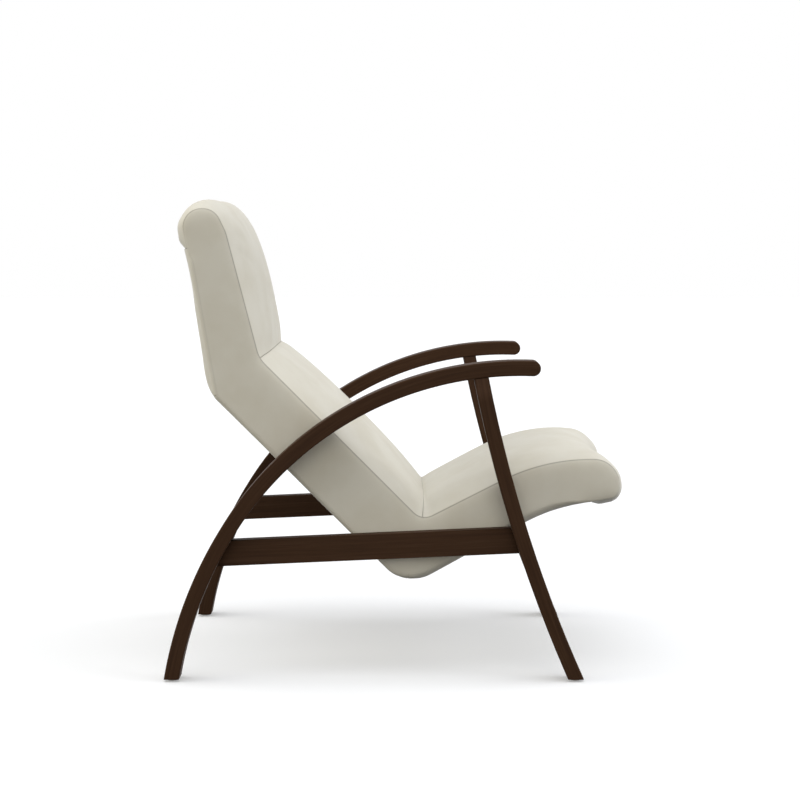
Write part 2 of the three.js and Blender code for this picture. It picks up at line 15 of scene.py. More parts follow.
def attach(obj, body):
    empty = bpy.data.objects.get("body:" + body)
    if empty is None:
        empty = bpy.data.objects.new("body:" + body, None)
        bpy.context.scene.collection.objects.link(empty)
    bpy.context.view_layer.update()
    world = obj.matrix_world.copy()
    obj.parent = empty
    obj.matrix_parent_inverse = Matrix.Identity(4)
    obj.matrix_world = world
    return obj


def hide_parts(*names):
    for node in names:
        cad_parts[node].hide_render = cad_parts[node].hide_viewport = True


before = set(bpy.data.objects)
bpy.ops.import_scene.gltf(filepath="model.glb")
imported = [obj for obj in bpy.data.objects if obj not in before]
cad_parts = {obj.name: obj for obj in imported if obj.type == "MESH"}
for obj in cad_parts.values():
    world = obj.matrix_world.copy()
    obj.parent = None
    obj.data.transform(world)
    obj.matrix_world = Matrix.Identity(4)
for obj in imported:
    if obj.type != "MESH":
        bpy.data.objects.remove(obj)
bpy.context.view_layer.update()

bl_info = {
    "name": "Bent-wood lounge chair",
    "version": (1, 0, 0),
    "blender": (4, 5, 0),
    "location": "3D View > Sidebar > Lounge chair",
    "description": "Models the wood frames, the upholstery, the finishes and the studio of a lounge chair",
    "category": "Add Mesh",
}

BODY = "root"
SIDES = {"right": -1, "left": 1}
# Points that lie closer than this are one
TOUCH = 0.00001


# Sizes, colours and the studio, as a user would change them

def linear(colour):
    """Linear RGB from an sRGB hex value."""
    parts = [int(colour[k:k + 2], 16) / 255 for k in (1, 3, 5)]
    return [part / 12.92 if part <= 0.04045 else ((part + 0.055) / 1.055) ** 2.4 for part in parts]


def length(name, description, default):
    return FloatProperty(name=name, description=description, default=default, unit="LENGTH", precision=4)


def angle(name, description, degrees):
    return FloatProperty(name=name, description=description, default=radians(degrees), subtype="ANGLE")


def tint(name, description, colour):
    return FloatVectorProperty(
        name=name, description=description, default=linear(colour), subtype="COLOR", min=0, max=1)


def strength(name, description, default):
    return FloatProperty(name=name, description=description, default=default, min=0)


class SideFrameSizes(bpy.types.PropertyGroup):
    """Sizes of the two bent-wood side frames"""
    width: length("Width", "Width of the arms and legs across the chair", 0.050)
    middle: length("Middle", "From the chair's middle to the middle of an arm", 0.305)
    edge_round: length("Edge round", "Rounding of the long edges", 0.003)
    bend_thickness: length("Bend thickness", "Thickness of the arm and rear leg", 0.028)
    rear_foot_y: length("Rear foot", "Place of the rear foot", 0.416)
    rear_foot_lean: angle("Rear foot lean", "Lean of the rear leg at the floor", 10)
    leg_radius: length("Leg radius", "Bend of the rear leg", 0.777)
    leg_sweep: angle("Leg sweep", "Turn of the rear leg up to the shoulder", 24.3)
    arm_radius: length("Arm radius", "Bend of the arm", 0.633)
    arm_sweep: angle("Arm sweep", "Turn of the arm from the shoulder to its tip", 57.8)
    front_thickness: length("Front leg thickness", "Thickness of the front leg", 0.027)
    front_foot_y: length("Front foot", "Place of the front foot", -0.336)
    front_foot_lean: angle("Front foot lean", "Lean of the front leg at the floor", 23.9)
    front_radius: length("Front leg radius", "Bow of the front leg", 2.670)
    rail_height: length("Rail height", "Height of the side rail", 0.048)
    rail_thickness: length("Rail thickness", "Thickness of the side rail across the chair", 0.025)
    rail_rise: angle("Rail rise", "Slope of the side rail towards the front", 2.5)
    rail_y: length("Rail middle", "Place of the rail's middle along the chair", -0.050)
    rail_z: length("Rail level", "Height of the rail's middle above the floor", 0.254)
    glide_height: length("Glide height", "Height of the glides under the feet", 0.005)
    glide_diameter: length("Glide diameter", "Diameter of the glides", 0.024)
    joint_gap: length("Joint gap", "Hairline between two pieces at a joint", 0.0003)


class ShellSizes(bpy.types.PropertyGroup):
    """Sizes of the upholstered shell"""
    half_width: length("Half width", "From the chair's middle to the shell's side", 0.275)
    skin: length("Side padding", "Padding on the shell's sides", 0.006)
    pad_depth: length("Pad depth", "Depth of the pads under the seams", 0.040)
    roll_depth: length("Roll depth", "Depth of the padding at the nose and the head's top", 0.026)
    cover_depth: length("Cover depth", "Depth of the plain rear and lower upholstery", 0.006)
    head_crown: length("Head crown", "Fullness of the head pad", 0.032)
    head_roll: length("Head roll", "Fullness of the head pad over its top", 0.013)
    lumbar_crown: length("Lumbar crown", "Fullness of the lumbar pad", 0.033)
    seat_crown: length("Seat crown", "Fullness of the seat pad", 0.024)
    seat_ear: length("Seat ears", "Fullness of the seat's two front corners", 0.013)
    seat_dish: length("Seat dish", "Hollow of the seat's front edge in its middle", 0.014)
    upper_back_roll: length("Upper back roll", "Fullness of the upper back", 0.008)
    lower_back_roll: length("Lower back roll", "Fullness of the lower back", 0.0035)
    under_seat_roll: length("Under seat roll", "Fullness under the seat", 0.004)
    back_wrap: length("Back wrap", "How far the back covers turn round onto the sides", 0.008)
    under_wrap: length("Under wrap", "How far the cover under the seat turns round onto the sides", 0.016)
    under_soft: length("Under softness", "From how far within its sides that cover starts to turn", 0.018)
    seam_fold: length("Seam fold", "Depth to which the leather turns in at a seam", 0.0011)
    cross_fold: length("Cross fold", "The same at the seams that run across the chair", 0.0006)
    back_seam_fold: length("Back seam fold", "The same at the seams that lie on the sides", 0.0004)
    mesh_step: length("Mesh step", "Spacing of the upholstery's mesh", 0.006)
    slack: length("Slack", "How much lower a pad starts before pressure fills it", 0.0012)
    swell_limit: length("Swell limit", "The most that pressure may move a pad's leather", 0.006)
    pressure: strength("Pressure", "Pressure that fills the pads", 6)


class Finishes(bpy.types.PropertyGroup):
    """Colours of the chair"""
    leather: tint("Leather", "Main colour of the leather", "#D6D3C8")
    leather_shade: tint("Leather shade", "Darker patches of the leather", "#D0CCBF")
    # Painted shade: the dark colour that the leather is mixed towards along its seams
    painted_seam_shade: tint("Leather seam", "Leather down in a seam", "#6E685C")
    wood: tint("Wood", "Main colour of the stained wood", "#3E2B1E")
    wood_dark: tint("Dark wood", "Dark streaks of the stained wood", "#35241A")
    wood_light: tint("Light wood", "Light streaks, where the stain is thinner", "#483528")
    plywood: tint("Plywood", "Face of the birch plywood", "#CDB083")
    webbing: tint("Webbing", "Yarn of the webbing", "#3D3B38")
    zinc: tint("Zinc", "Zinc plate on bolts and inserts", "#C9C8C3")
    rubber: tint("Rubber", "Spacer rings", "#1E1D1C")
    nylon: tint("Nylon", "Foot glides", "#B7B0A8")


class StudioSettings(bpy.types.PropertyGroup):
    """Camera, lights and floor"""
    camera_place: FloatVectorProperty(
        name="Camera place", description="Where the camera stands", default=(-3.8354, -0.009, 0.8358),
        subtype="TRANSLATION", unit="LENGTH")
    camera_pitch: angle("Camera pitch", "How far the camera looks down", 5.0414)
    lens: FloatProperty(name="Lens", description="Focal length", default=86.4126, unit="CAMERA")
    top_light: strength("Top light", "Strength of the broad light overhead", 1.17)
    front_light: strength("Front light", "Strength of the low light before the chair", 1.16)
    rear_light: strength("Rear light", "Strength of the low light behind the chair", 1.75)
    side_light: strength("Side light", "Strength of the fill light beside the camera", 0.82)
    fill_tint: tint("Fill tint", "Colour of the lights behind the chair and beside the camera", "#FAF3E0")
    ambient: strength("Ambient", "Strength of the white surroundings", 0.42)
    floor: tint("Floor", "Colour of the studio paper, cool to look white under warm lights", "#E3E5E9")
    floor_glow: FloatProperty(
        name="Floor glow", description="How much of the floor's white stays in a shadow", default=0.27,
        subtype="FACTOR", min=0, max=1)


# Side view helpers: a place is the complex number y + z i, and a heading is an angle from +Y to +Z

def step(place, heading, distance):
    return place + cmath.rect(distance, heading)


def left(heading):
    return heading + pi / 2


def right(heading):
    return heading - pi / 2


def meet(a, heading_a, b, heading_b):
    """Where two lines meet, each given by a place and a heading."""
    along = abs(b - a) * sin(heading_b - cmath.phase(b - a))
    return step(a, heading_a, along / sin(heading_b - heading_a))


def reach(place, heading, centre, radius):
    """Where a line meets a circle, on the side that the line heads for."""
    towards = (centre - place) * cmath.exp(-1j * heading)
    return step(place, heading, towards.real + sqrt(radius * radius - towards.imag * towards.imag))


def in_space(x, place):
    return Vector((x, place.real, place.imag))


def in_plane(co):
    return complex(co.y, co.z)


# Mesh helpers

def verts_of(geom):
    return [part for part in geom if isinstance(part, bmesh.types.BMVert)]


def edges_of(geom):
    return [part for part in geom if isinstance(part, bmesh.types.BMEdge)]


def add_object(name, data):
    """Puts a mesh, a light or a camera into the scene."""
    added = bpy.data.objects.new(name, data)
    bpy.context.scene.collection.objects.link(added)
    return added


def add_mesh(bm, name, material):
    """Puts a modelled mesh into the scene, in one material."""
    mesh = bpy.data.meshes.new(name)
    bm.to_mesh(mesh)
    bm.free()
    mesh.materials.append(material)
    return add_object(name, mesh)


def make_piece(bm, name, slot, nodes, padding=None):
    """Makes a piece of a closed mesh, in its slot's finish and in the place of its CAD nodes."""
    bmesh.ops.remove_doubles(bm, verts=bm.verts[:], dist=TOUCH)
    bmesh.ops.dissolve_degenerate(bm, edges=bm.edges[:], dist=TOUCH)
    bmesh.ops.recalc_face_normals(bm, faces=bm.faces[:])
    open_edges = [edge for edge in bm.edges if len(edge.link_faces) != 2]
    if open_edges:
        raise RuntimeError(f"{name} is open at {len(open_edges)} edges")
    for face in bm.faces:
        face.smooth = True
    piece = add_mesh(bm, name, finish(SLOT_FINISHES[slot]))
    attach(piece, BODY)
    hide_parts(*nodes)
    if padding:
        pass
    else:
        piece.modifiers.new("even_shading", "WEIGHTED_NORMAL").keep_sharp = True
    return piece


# Wood frames

class FrameLines:
    """The arcs and lines that the pieces of a side frame follow, in the side view."""

    def __init__(self, sizes):
        rear_foot = complex(sizes.rear_foot_y, sizes.glide_height)
        front_foot = complex(sizes.front_foot_y, sizes.glide_height)
        self.foot_angle = sizes.rear_foot_lean
        self.leg_centre = step(rear_foot, self.foot_angle, -sizes.leg_radius)
        self.shoulder_angle = self.foot_angle + sizes.leg_sweep
        shoulder = step(self.leg_centre, self.shoulder_angle, sizes.leg_radius)
        self.arm_centre = step(shoulder, self.shoulder_angle, -sizes.arm_radius)
        self.tip = step(self.arm_centre, self.shoulder_angle + sizes.arm_sweep, sizes.arm_radius)
        self.front_angle = -sizes.front_foot_lean
        self.front_centre = step(front_foot, self.front_angle, -sizes.front_radius)
        self.underside = sizes.arm_radius - sizes.bend_thickness / 2 - sizes.joint_gap
        self.rail_middle = complex(sizes.rail_y, sizes.rail_z)
        self.rail_heading = -sizes.rail_rise
        span = abs(self.arm_centre - self.front_centre)
        square = sizes.front_radius ** 2 + span ** 2 - self.underside ** 2
        self.front_top_angle = cmath.phase(self.arm_centre - self.front_centre) + acos(
            square / (2 * sizes.front_radius * span))


# Steps of a rounded edge, of the spins along the arcs and of a full turn
ROUND_STEPS = 5
LEG_STEPS = 26
ARM_STEPS = 48
TIP_STEPS = 16
FRONT_STEPS = 14
TURN_STEPS = 36
# Cuts across a bar: one for the middle line that a tip turns about, three to fit an end to a curve
MIDDLE_CUT = 1
END_CUTS = 3
# How far the legs run on below their feet before they are cut off level, and the arris of that cut
REAR_OVERRUN = radians(1.5)
FRONT_OVERRUN = radians(0.5)
FOOT_ARRIS = 0.0007
# A glide's outline from the middle of its tread to its neck, as shares of its radius
GLIDE_OUTLINE = [(0, 0), (0.8, 0), (0.94, 0.06), (1, 0.2), (1, 0.34), (0.9, 0.38)]


def oblong(bm, width, height, edge_round, side_cuts, matrix):
    """A rounded oblong outline, wide along X, set into place by a matrix."""
    flat = bmesh.ops.create_grid(
        bm, x_segments=1, y_segments=1, size=0.5, matrix=Matrix.Diagonal((width, height, 1, 1)))
    bmesh.ops.bevel(
        bm, geom=flat["verts"], offset=edge_round, segments=ROUND_STEPS, profile=0.5,
        affect="VERTICES", material=-1)
    bmesh.ops.delete(bm, geom=bm.faces[:], context="FACES_ONLY")
    sides = [edge for edge in bm.edges if abs(edge.verts[0].co.x - edge.verts[1].co.x) < TOUCH]
    bmesh.ops.subdivide_edges(bm, edges=sides, cuts=side_cuts)
    bmesh.ops.transform(bm, matrix=matrix, verts=bm.verts[:])
    return bm.verts[:] + bm.edges[:]


def cross_section(place, angle_up, x):
    """Sets an outline square to an arc: its height points away from the arc's centre."""
    return Matrix.Translation(in_space(x, place)) @ Matrix.Rotation(angle_up, 4, "X")


def swing(bm, geom, centre, turn, steps):
    """Spins an outline about an axis along X and returns the outline at its end."""
    made = bmesh.ops.spin(
        bm, geom=geom, cent=in_space(0, centre), axis=(1, 0, 0), angle=turn, steps=steps,
        use_merge=False, use_duplicate=False)
    return made["geom_last"]


def cut_level(bm, level):
    """Cuts a foot off level and closes it, with a fine arris."""
    cut = bmesh.ops.bisect_plane(
        bm, geom=bm.verts[:] + bm.edges[:] + bm.faces[:], plane_co=(0, 0, level),
        plane_no=(0, 0, 1), clear_inner=True)
    foot = bmesh.ops.holes_fill(bm, edges=edges_of(cut["geom_cut"]))["faces"]
    rim = [vert for face in foot for vert in face.verts]
    bmesh.ops.inset_region(bm, faces=foot, thickness=FOOT_ARRIS, use_even_offset=True)
    bmesh.ops.translate(bm, verts=rim, vec=(0, 0, FOOT_ARRIS))


def close_ends(bm):
    rims = [edge for edge in bm.edges if len(edge.link_faces) == 1]
    bmesh.ops.holes_fill(bm, edges=rims)


def mark_grain(bm, x, place_on_bar, start):
    """Stores where each point lies in the wood: across X, off the middle line, and along it."""
    grain = bm.verts.layers.float_vector.new("grain")
    for vert in bm.verts:
        off, along = place_on_bar(in_plane(vert.co))
        vert[grain] = (vert.co.x - x, off, start + along)


def on_arc(place, centre, radius, first_angle):
    """How far a place lies off an arc, and how far along it from the arc's first angle."""
    away = place - centre
    return abs(away) - radius, radius * (cmath.phase(away) - first_angle)


def bent_leg(sizes, x, start):
    """The arm and rear leg: one outline spun over two arcs, with a half-round tip."""
    lines = FrameLines(sizes)
    bm = bmesh.new()
    below = lines.foot_angle - REAR_OVERRUN
    foot = cross_section(step(lines.leg_centre, below, sizes.leg_radius), below, x)
    ring = oblong(bm, sizes.width, sizes.bend_thickness, sizes.edge_round, MIDDLE_CUT, foot)
    ring = swing(bm, ring, lines.leg_centre, sizes.leg_sweep + REAR_OVERRUN, LEG_STEPS)
    ring = swing(bm, ring, lines.arm_centre, sizes.arm_sweep, ARM_STEPS)
    upper = {
        vert for vert in verts_of(ring)
        if abs(in_plane(vert.co) - lines.arm_centre) > sizes.arm_radius - TOUCH}
    half = list(upper) + [edge for edge in edges_of(ring) if set(edge.verts) <= upper]
    swing(bm, half, lines.tip, pi, TIP_STEPS)
    bmesh.ops.remove_doubles(bm, verts=bm.verts[:], dist=TOUCH)
    cut_level(bm, sizes.glide_height)

    def place_on_bar(place):
        leg_run = sizes.leg_radius * sizes.leg_sweep
        off, along = on_arc(place, lines.leg_centre, sizes.leg_radius, lines.foot_angle)
        if along >= leg_run:
            off, past = on_arc(place, lines.arm_centre, sizes.arm_radius, lines.shoulder_angle)
            along = leg_run + past
        return off, along

    mark_grain(bm, x, place_on_bar, start)
    return bm


def front_leg(sizes, x, start):
    """The front leg: slightly bowed, with its top fitted to the arm's underside."""
    lines = FrameLines(sizes)
    bm = bmesh.new()
    below = lines.front_angle - FRONT_OVERRUN
    foot = cross_section(step(lines.front_centre, below, sizes.front_radius), below, x)
    ring = oblong(bm, sizes.width, sizes.front_thickness, sizes.edge_round, END_CUTS, foot)
    top = swing(bm, ring, lines.front_centre, lines.front_top_angle - below, FRONT_STEPS)
    for vert in verts_of(top):
        fitted = reach(in_plane(vert.co), left(lines.front_top_angle), lines.arm_centre, lines.underside)
        vert.co = in_space(vert.co.x, fitted)
    cut_level(bm, sizes.glide_height)
    close_ends(bm)

    def place_on_bar(place):
        return on_arc(place, lines.front_centre, sizes.front_radius, lines.front_angle)

    mark_grain(bm, x, place_on_bar, start)
    return bm


def side_rail(sizes, x, start):
    """The side rail: straight, with its two ends fitted to the legs."""
    lines = FrameLines(sizes)
    bm = bmesh.new()
    set_up = cross_section(lines.rail_middle, lines.rail_heading, x)
    on_end = set_up @ Matrix.Rotation(pi / 2, 4, "X")
    ring = oblong(bm, sizes.rail_thickness, sizes.rail_height, sizes.edge_round / 2, END_CUTS, on_end)
    far = bmesh.ops.extrude_edge_only(bm, edges=edges_of(ring))["geom"]
    front = lines.front_centre, sizes.front_radius + sizes.front_thickness / 2 + sizes.joint_gap
    rear = lines.leg_centre, sizes.leg_radius - sizes.bend_thickness / 2 - sizes.joint_gap
    for verts, (centre, radius) in ((verts_of(ring), front), (verts_of(far), rear)):
        for vert in verts:
            vert.co = in_space(vert.co.x, reach(in_plane(vert.co), lines.rail_heading, centre, radius))
    close_ends(bm)

    def place_on_bar(place):
        turned = (place - lines.rail_middle) * cmath.exp(-1j * lines.rail_heading)
        return turned.imag, turned.real

    mark_grain(bm, x, place_on_bar, start)
    return bm


def glide(sizes, x, y):
    """A foot glide: a turned disc with a rounded tread and a small step at its top."""
    radius = sizes.glide_diameter / 2
    top = sizes.glide_height - sizes.joint_gap
    outline = [(radius * out, radius * up) for out, up in GLIDE_OUTLINE]
    outline += [(outline[-1][0], top), (0, top)]
    bm = bmesh.new()
    verts = [bm.verts.new((x + out, y, up)) for out, up in outline]
    edges = [bm.edges.new(pair) for pair in zip(verts, verts[1:])]
    bmesh.ops.spin(
        bm, geom=verts + edges, cent=(x, y, 0), axis=(0, 0, 1), angle=2 * pi, steps=TURN_STEPS,
        use_merge=True, use_duplicate=False)
    return bm


# The shell's profile, seen from the side

def shell_corners():
    """Corners of the profile, from the crease round by the nose, the belly and the head.

    Each has its name, its place, its rounding and which depth its edge is drawn in by.
    """
    crease = complex(-0.050, 0.294)
    head_back = complex(0.3989, 0.87674)
    seat_heading, seat_run = pi - radians(27), 0.256
    nose_run, nose_height, nose_heading = 0.142, 0.072, -radians(9.5)
    under_heading, under_depth = -radians(29.2), 0.098
    lower_back, lower_back_depth, lumbar_run = radians(45.2), 0.111, 0.430
    upper_back = radians(80.2)
    head_heading, head_run = radians(75.5), 0.242
    top_heading = radians(64.5)
    seat_front = step(crease, seat_heading, seat_run)
    nose_top = seat_front - nose_run
    nose_bottom = nose_top - nose_height * 1j
    under_line = step(crease, right(under_heading), under_depth)
    back_line = step(crease, right(lower_back), lower_back_depth)
    under_bend = meet(nose_bottom, nose_heading, under_line, under_heading)
    belly = meet(under_line, under_heading, back_line, lower_back)
    junction = step(crease, lower_back, lumbar_run)
    front_bend = step(junction, head_heading, head_run)
    head_front = step(front_bend, top_heading, (head_back - front_bend).imag / sin(top_heading))
    kink = meet(back_line, lower_back, head_back, upper_back)
    return [
        ("crease", crease, 0.030, "pad_depth"),
        ("seat_front", seat_front, 0.400, "pad_depth"),
        ("nose_top", nose_top, 0.052, "roll_depth"),
        ("nose_bottom", nose_bottom, 0.020, "cover_depth"),
        ("under_bend", under_bend, 0.350, "cover_depth"),
        ("belly", belly, 0.070, "cover_depth"),
        ("kink", kink, 0.030, "cover_depth"),
        ("head_back", head_back, 0.034, "roll_depth"),
        ("head_front", head_front, 0.033, "pad_depth"),
        ("front_bend", front_bend, 0.050, "pad_depth"),
        ("junction", junction, 0.060, "pad_depth"),
    ]


CORNERS = shell_corners()
NAMES = [name for name, *_ in CORNERS]
# The least rounding of a corner that is drawn in, and the most of an edge that its two roundings take
LEAST_ROUND = 0.008
EDGE_ROOM = 0.96
# How far the seat pad runs on past the nose, and the head pad down behind the head
NOSE_WRAP = 0.050
HEAD_WRAP = 0.075
# Gap between two pieces at a seam, and room for the straps under a pad
SEAM_GAP = 0.0003
STRAP_ROOM = 0.0026
# How wide a seam's painted shade is, its strength across the chair, and the sides' seam's behind and below
SEAM_SHADE_WIDTH = 0.0007
CROSS_SHADE = 0.6
BACK_SEAM = 0.15
UNDER_SEAM = 0.06
# Lengths over which the sides' seam fades in and out, and the covers' turn onto the sides
NOSE_FADE = 0.040
HEAD_FADE = 0.045
UNDER_EASE = 0.090
BELLY_EASE = 0.090
HEAD_EASE = 0.030
# The least turn onto the sides
LEAST_WRAP = 0.0005


def ramp(share):
    """A smooth rise from 0 to 1."""
    held = min(max(share, 0), 1)
    return held * held * (3 - 2 * held)


class DrawnLine:
    """The profile drawn inwards, each edge by a depth of its own, with its corners still round."""

    def __init__(self, depths):
        count = len(CORNERS)
        edges = []
        for k, (_, at, _, _) in enumerate(CORNERS):
            heading = cmath.phase(CORNERS[(k + 1) % count][1] - at)
            edges.append((step(at, left(heading), depths[k]), heading, depths[k]))
        self.edges = edges
        corners = []
        for k, (_, _, full_round, _) in enumerate(CORNERS):
            before, after = edges[k - 1], edges[k]
            at = meet(before[0], before[1], after[0], after[1])
            turn = cmath.phase(cmath.rect(1, after[1] - before[1]))
            depth = max(before[2], after[2])
            inner = max(full_round - depth, LEAST_ROUND if depth else 0)
            radius = inner if turn > 0 else full_round + depth
            corners.append((at, turn, radius, radius * tan(abs(turn) / 2), before[1]))
        room = [
            min(1, EDGE_ROOM * abs(corners[(k + 1) % count][0] - corners[k][0])
                / (corners[k][3] + corners[(k + 1) % count][3]))
            for k in range(count)]
        self.corners = []
        for k, (at, turn, radius, tangent, heading) in enumerate(corners):
            share = min(room[k], room[k - 1])
            side = 1 if turn > 0 else -1
            centre = step(step(at, heading, -tangent * share), left(heading), side * radius * share)
            self.corners.append((centre, turn, side * radius * share, tangent * share, heading))

    def on_corner(self, k, part):
        centre, turn, radius, _, heading = self.corners[k % len(self.corners)]
        facing = heading + turn * part
        return step(centre, right(facing), radius), facing

    def on_edge(self, k, part):
        from_place = self.on_corner(k, 1)[0]
        to_place = self.on_corner(k + 1, 0)[0]
        return from_place + (to_place - from_place) * part, self.edges[k][1]


class ShellLines:
    """The seam line and the line that the pads lie on, and the runs along them."""

    def __init__(self, sizes):
        self.seam = DrawnLine([0] * len(CORNERS))
        self.floor = DrawnLine([
            getattr(sizes, depth) - (SEAM_GAP if depth == "cover_depth" else STRAP_ROOM)
            for _, _, _, depth in CORNERS])
        self.stretches = []
        self.whole = 0
        for k in range(len(CORNERS)):
            _, turn, radius, _, _ = self.seam.corners[k]
            straight = abs(self.seam.on_corner(k + 1, 0)[0] - self.seam.on_corner(k, 1)[0])
            for on_edge, run in ((False, abs(radius * turn)), (True, straight)):
                self.stretches.append((self.whole, run, k, on_edge))
                self.whole += run
        self.starts = [start for start, *_ in self.stretches]
        self.seam_fades = self.middle_of("nose_top")
        self.under_starts = self.past("nose_bottom", NOSE_WRAP)
        self.back_starts = self.middle_of("belly") - BELLY_EASE / 2
        self.back_ends = self.before("head_back", HEAD_WRAP)
        self.seam_returns = self.middle_of("head_back")

    def at_run(self, line, run):
        """A place and heading on a drawn line, by the arc length along the seam line."""
        turned = run % self.whole
        start, run_length, k, on_edge = self.stretches[bisect_left(self.starts, turned + TOUCH / 10) - 1]
        part = (turned - start) / run_length
        if not on_edge:
            return line.on_corner(k, part)
        place, facing = self.seam.on_edge(k, part)
        return step(place, left(facing), line.edges[k][2]), facing

    def wrap_at(self, sizes, run):
        """How far a cover turns round onto the sides here, and from how far within its own sides."""
        under = sin(pi / 2 * min(max((run - self.under_starts) / UNDER_EASE, 0), 1))
        back = ramp((run - self.back_starts) / BELLY_EASE)
        ends = ramp((self.back_ends - run) / HEAD_EASE)
        full = sizes.under_wrap + (sizes.back_wrap - sizes.under_wrap) * back
        return LEAST_WRAP + (full - LEAST_WRAP) * under * ends, sizes.under_soft * under * (1 - back)

    def seam_at(self, run):
        """How strongly the sides' seam shows here, in its fold and its painted shade: it fades round the
        nose, under the seat and behind.
        """
        faded = ramp((run - self.seam_fades) / NOSE_FADE) * ramp((self.seam_returns - run) / HEAD_FADE)
        back = ramp((run - self.back_starts) / BELLY_EASE)
        return 1 - faded * (1 - UNDER_SEAM - (BACK_SEAM - UNDER_SEAM) * back)

    def middle_of(self, name):
        start, run_length, _, _ = self.stretches[2 * NAMES.index(name)]
        return start + run_length / 2

    def past(self, name, distance):
        k = NAMES.index(name)
        return self.stretches[2 * k + 1][0] + distance - self.seam.corners[k][3]

    def before(self, name, distance):
        k = NAMES.index(name)
        return self.stretches[2 * k][0] - distance + self.seam.corners[k][3]


# Crowns: how full each pad is from its first seam to its last, and from its middle to its sides

HEAD_CROWN = [
    (0, 0), (.12, 0), (.2, .43), (.28, .57), (.355, .67), (.42, .76), (.5, .9), (.62, .95), (.8, .87),
    (.9, .81), (.95, .7), (1, .52)]
HEAD_ROLL = [
    (0, .6), (.05, 1.47), (.1, 1.43), (.15, .95), (.2, .56), (.25, .42), (.3, -.05), (.38, .04),
    (.6, .06), (1, .02)]
LUMBAR_CROWN = [(0, .5), (.05, .78), (.12, .91), (.25, 1.01), (.4, 1.03), (.75, 1), (.92, .83), (1, .69)]
SEAT_CROWN = [(0, .95), (.07, 1.15), (.3, 1.25), (.55, 1), (.7, .53), (.8, 0), (1, 0)]
SEAT_EAR = [
    (0, 0), (.55, 0), (.7, .18), (.78, .39), (.84, .77), (.89, 1.0), (.93, 1.22), (.965, 1.2), (1, .6)]
SEAT_DISH = [(0, 0), (.6, 0), (.74, .45), (.82, .85), (.9, .8), (1, 0)]
COVER_ROLL = [(0, .2), (.12, .85), (.5, 1), (.88, .85), (1, .2)]
LOWER_BACK_ROLL = [(0, .26), (.12, .76), (.3, 1.01), (.5, .9), (.7, 1.22), (.88, 1.45), (1, 1.75)]
UPPER_BACK_ROLL = [
    (0, .76), (.08, 1.66), (.16, 1.84), (.28, 1.64), (.45, 1.46), (.6, 1.32), (.75, .93),
    (.88, 1.04), (1, 1.33)]
# How late a form falls off towards the sides, and where across the seat its ears and its dish lie
CROWN_POWER = 4
ROLL_POWER = 12
EAR_PLACE = 0.84
EAR_WIDTH = 0.42
DISH_WIDTH = 0.95


def eased(table, share):
    """A smooth value from a table of (share, value) rows, with no overshoot between them."""
    k = min(max(bisect_left([place for place, _ in table], share), 1), len(table) - 1)
    slopes = [(b[1] - a[1]) / (b[0] - a[0]) for a, b in zip(table, table[1:])]

    def slope_at(row):
        if row == 0 or row == len(table) - 1:
            return slopes[max(row - 1, 0)]
        before, after = slopes[row - 1], slopes[row]
        return 2 * before * after / (before + after) if before * after > 0 else 0

    (low, a), (high, b) = table[k - 1], table[k]
    width = high - low
    t = (share - low) / width
    return (a * (1 + 2 * t) * (1 - t) ** 2 + b * t * t * (3 - 2 * t)
            + width * t * (1 - t) * (slope_at(k - 1) * (1 - t) - slope_at(k) * t))


def crown(place):
    return 1 - abs(place) ** CROWN_POWER


def roll(place):
    return 1 - abs(place) ** ROLL_POWER


def ear(place):
    return max(0, 1 - ((abs(place) - EAR_PLACE) / EAR_WIDTH) ** 2) ** 2 * roll(place)


def dish(place):
    return -max(0, 1 - (place / DISH_WIDTH) ** 2) ** 2


def fullness(*layers):
    """The height of a surface over the seam line, from layers of (height, table, form)."""
    def height_at(share, place):
        return sum(height * eased(table, share) * form(place) for height, table, form in layers)
    return height_at


# Distances from a seam at which the mesh has its first rows
NEAR_SEAM = [0, 0.0004, 0.0010, 0.0018, 0.0030, 0.0048, 0.0075, 0.0115]
# Width of a turned-in edge, as a share of its depth
FOLD_WIDTH = 1.6
# How far a cover's mesh runs on at each side to turn the corner, and how far its base spreads there
WRAP_RUN = 0.0112
WRAP_SPREAD = 0.0002
# How far a pad is held beside its seams, and over which distance it then comes free
HELD_EDGE = 0.004
FREE_EDGE = 0.030


def graded(first, last, spacing):
    """Places from one seam to the next: close together near both, then evenly spaced."""
    near = [first + gap for gap in NEAR_SEAM] + [last - gap for gap in NEAR_SEAM]
    start, end = first + NEAR_SEAM[-1], last - NEAR_SEAM[-1]
    count = ceil((end - start) / spacing)
    return sorted(near + [start + (end - start) * k / count for k in range(1, count)])


def folded(gap, fold):
    """How far leather turns in, by its distance from a seam."""
    width = FOLD_WIDTH * fold
    return fold * (1 - sqrt(1 - (1 - gap / width) ** 2)) if gap < width else 0


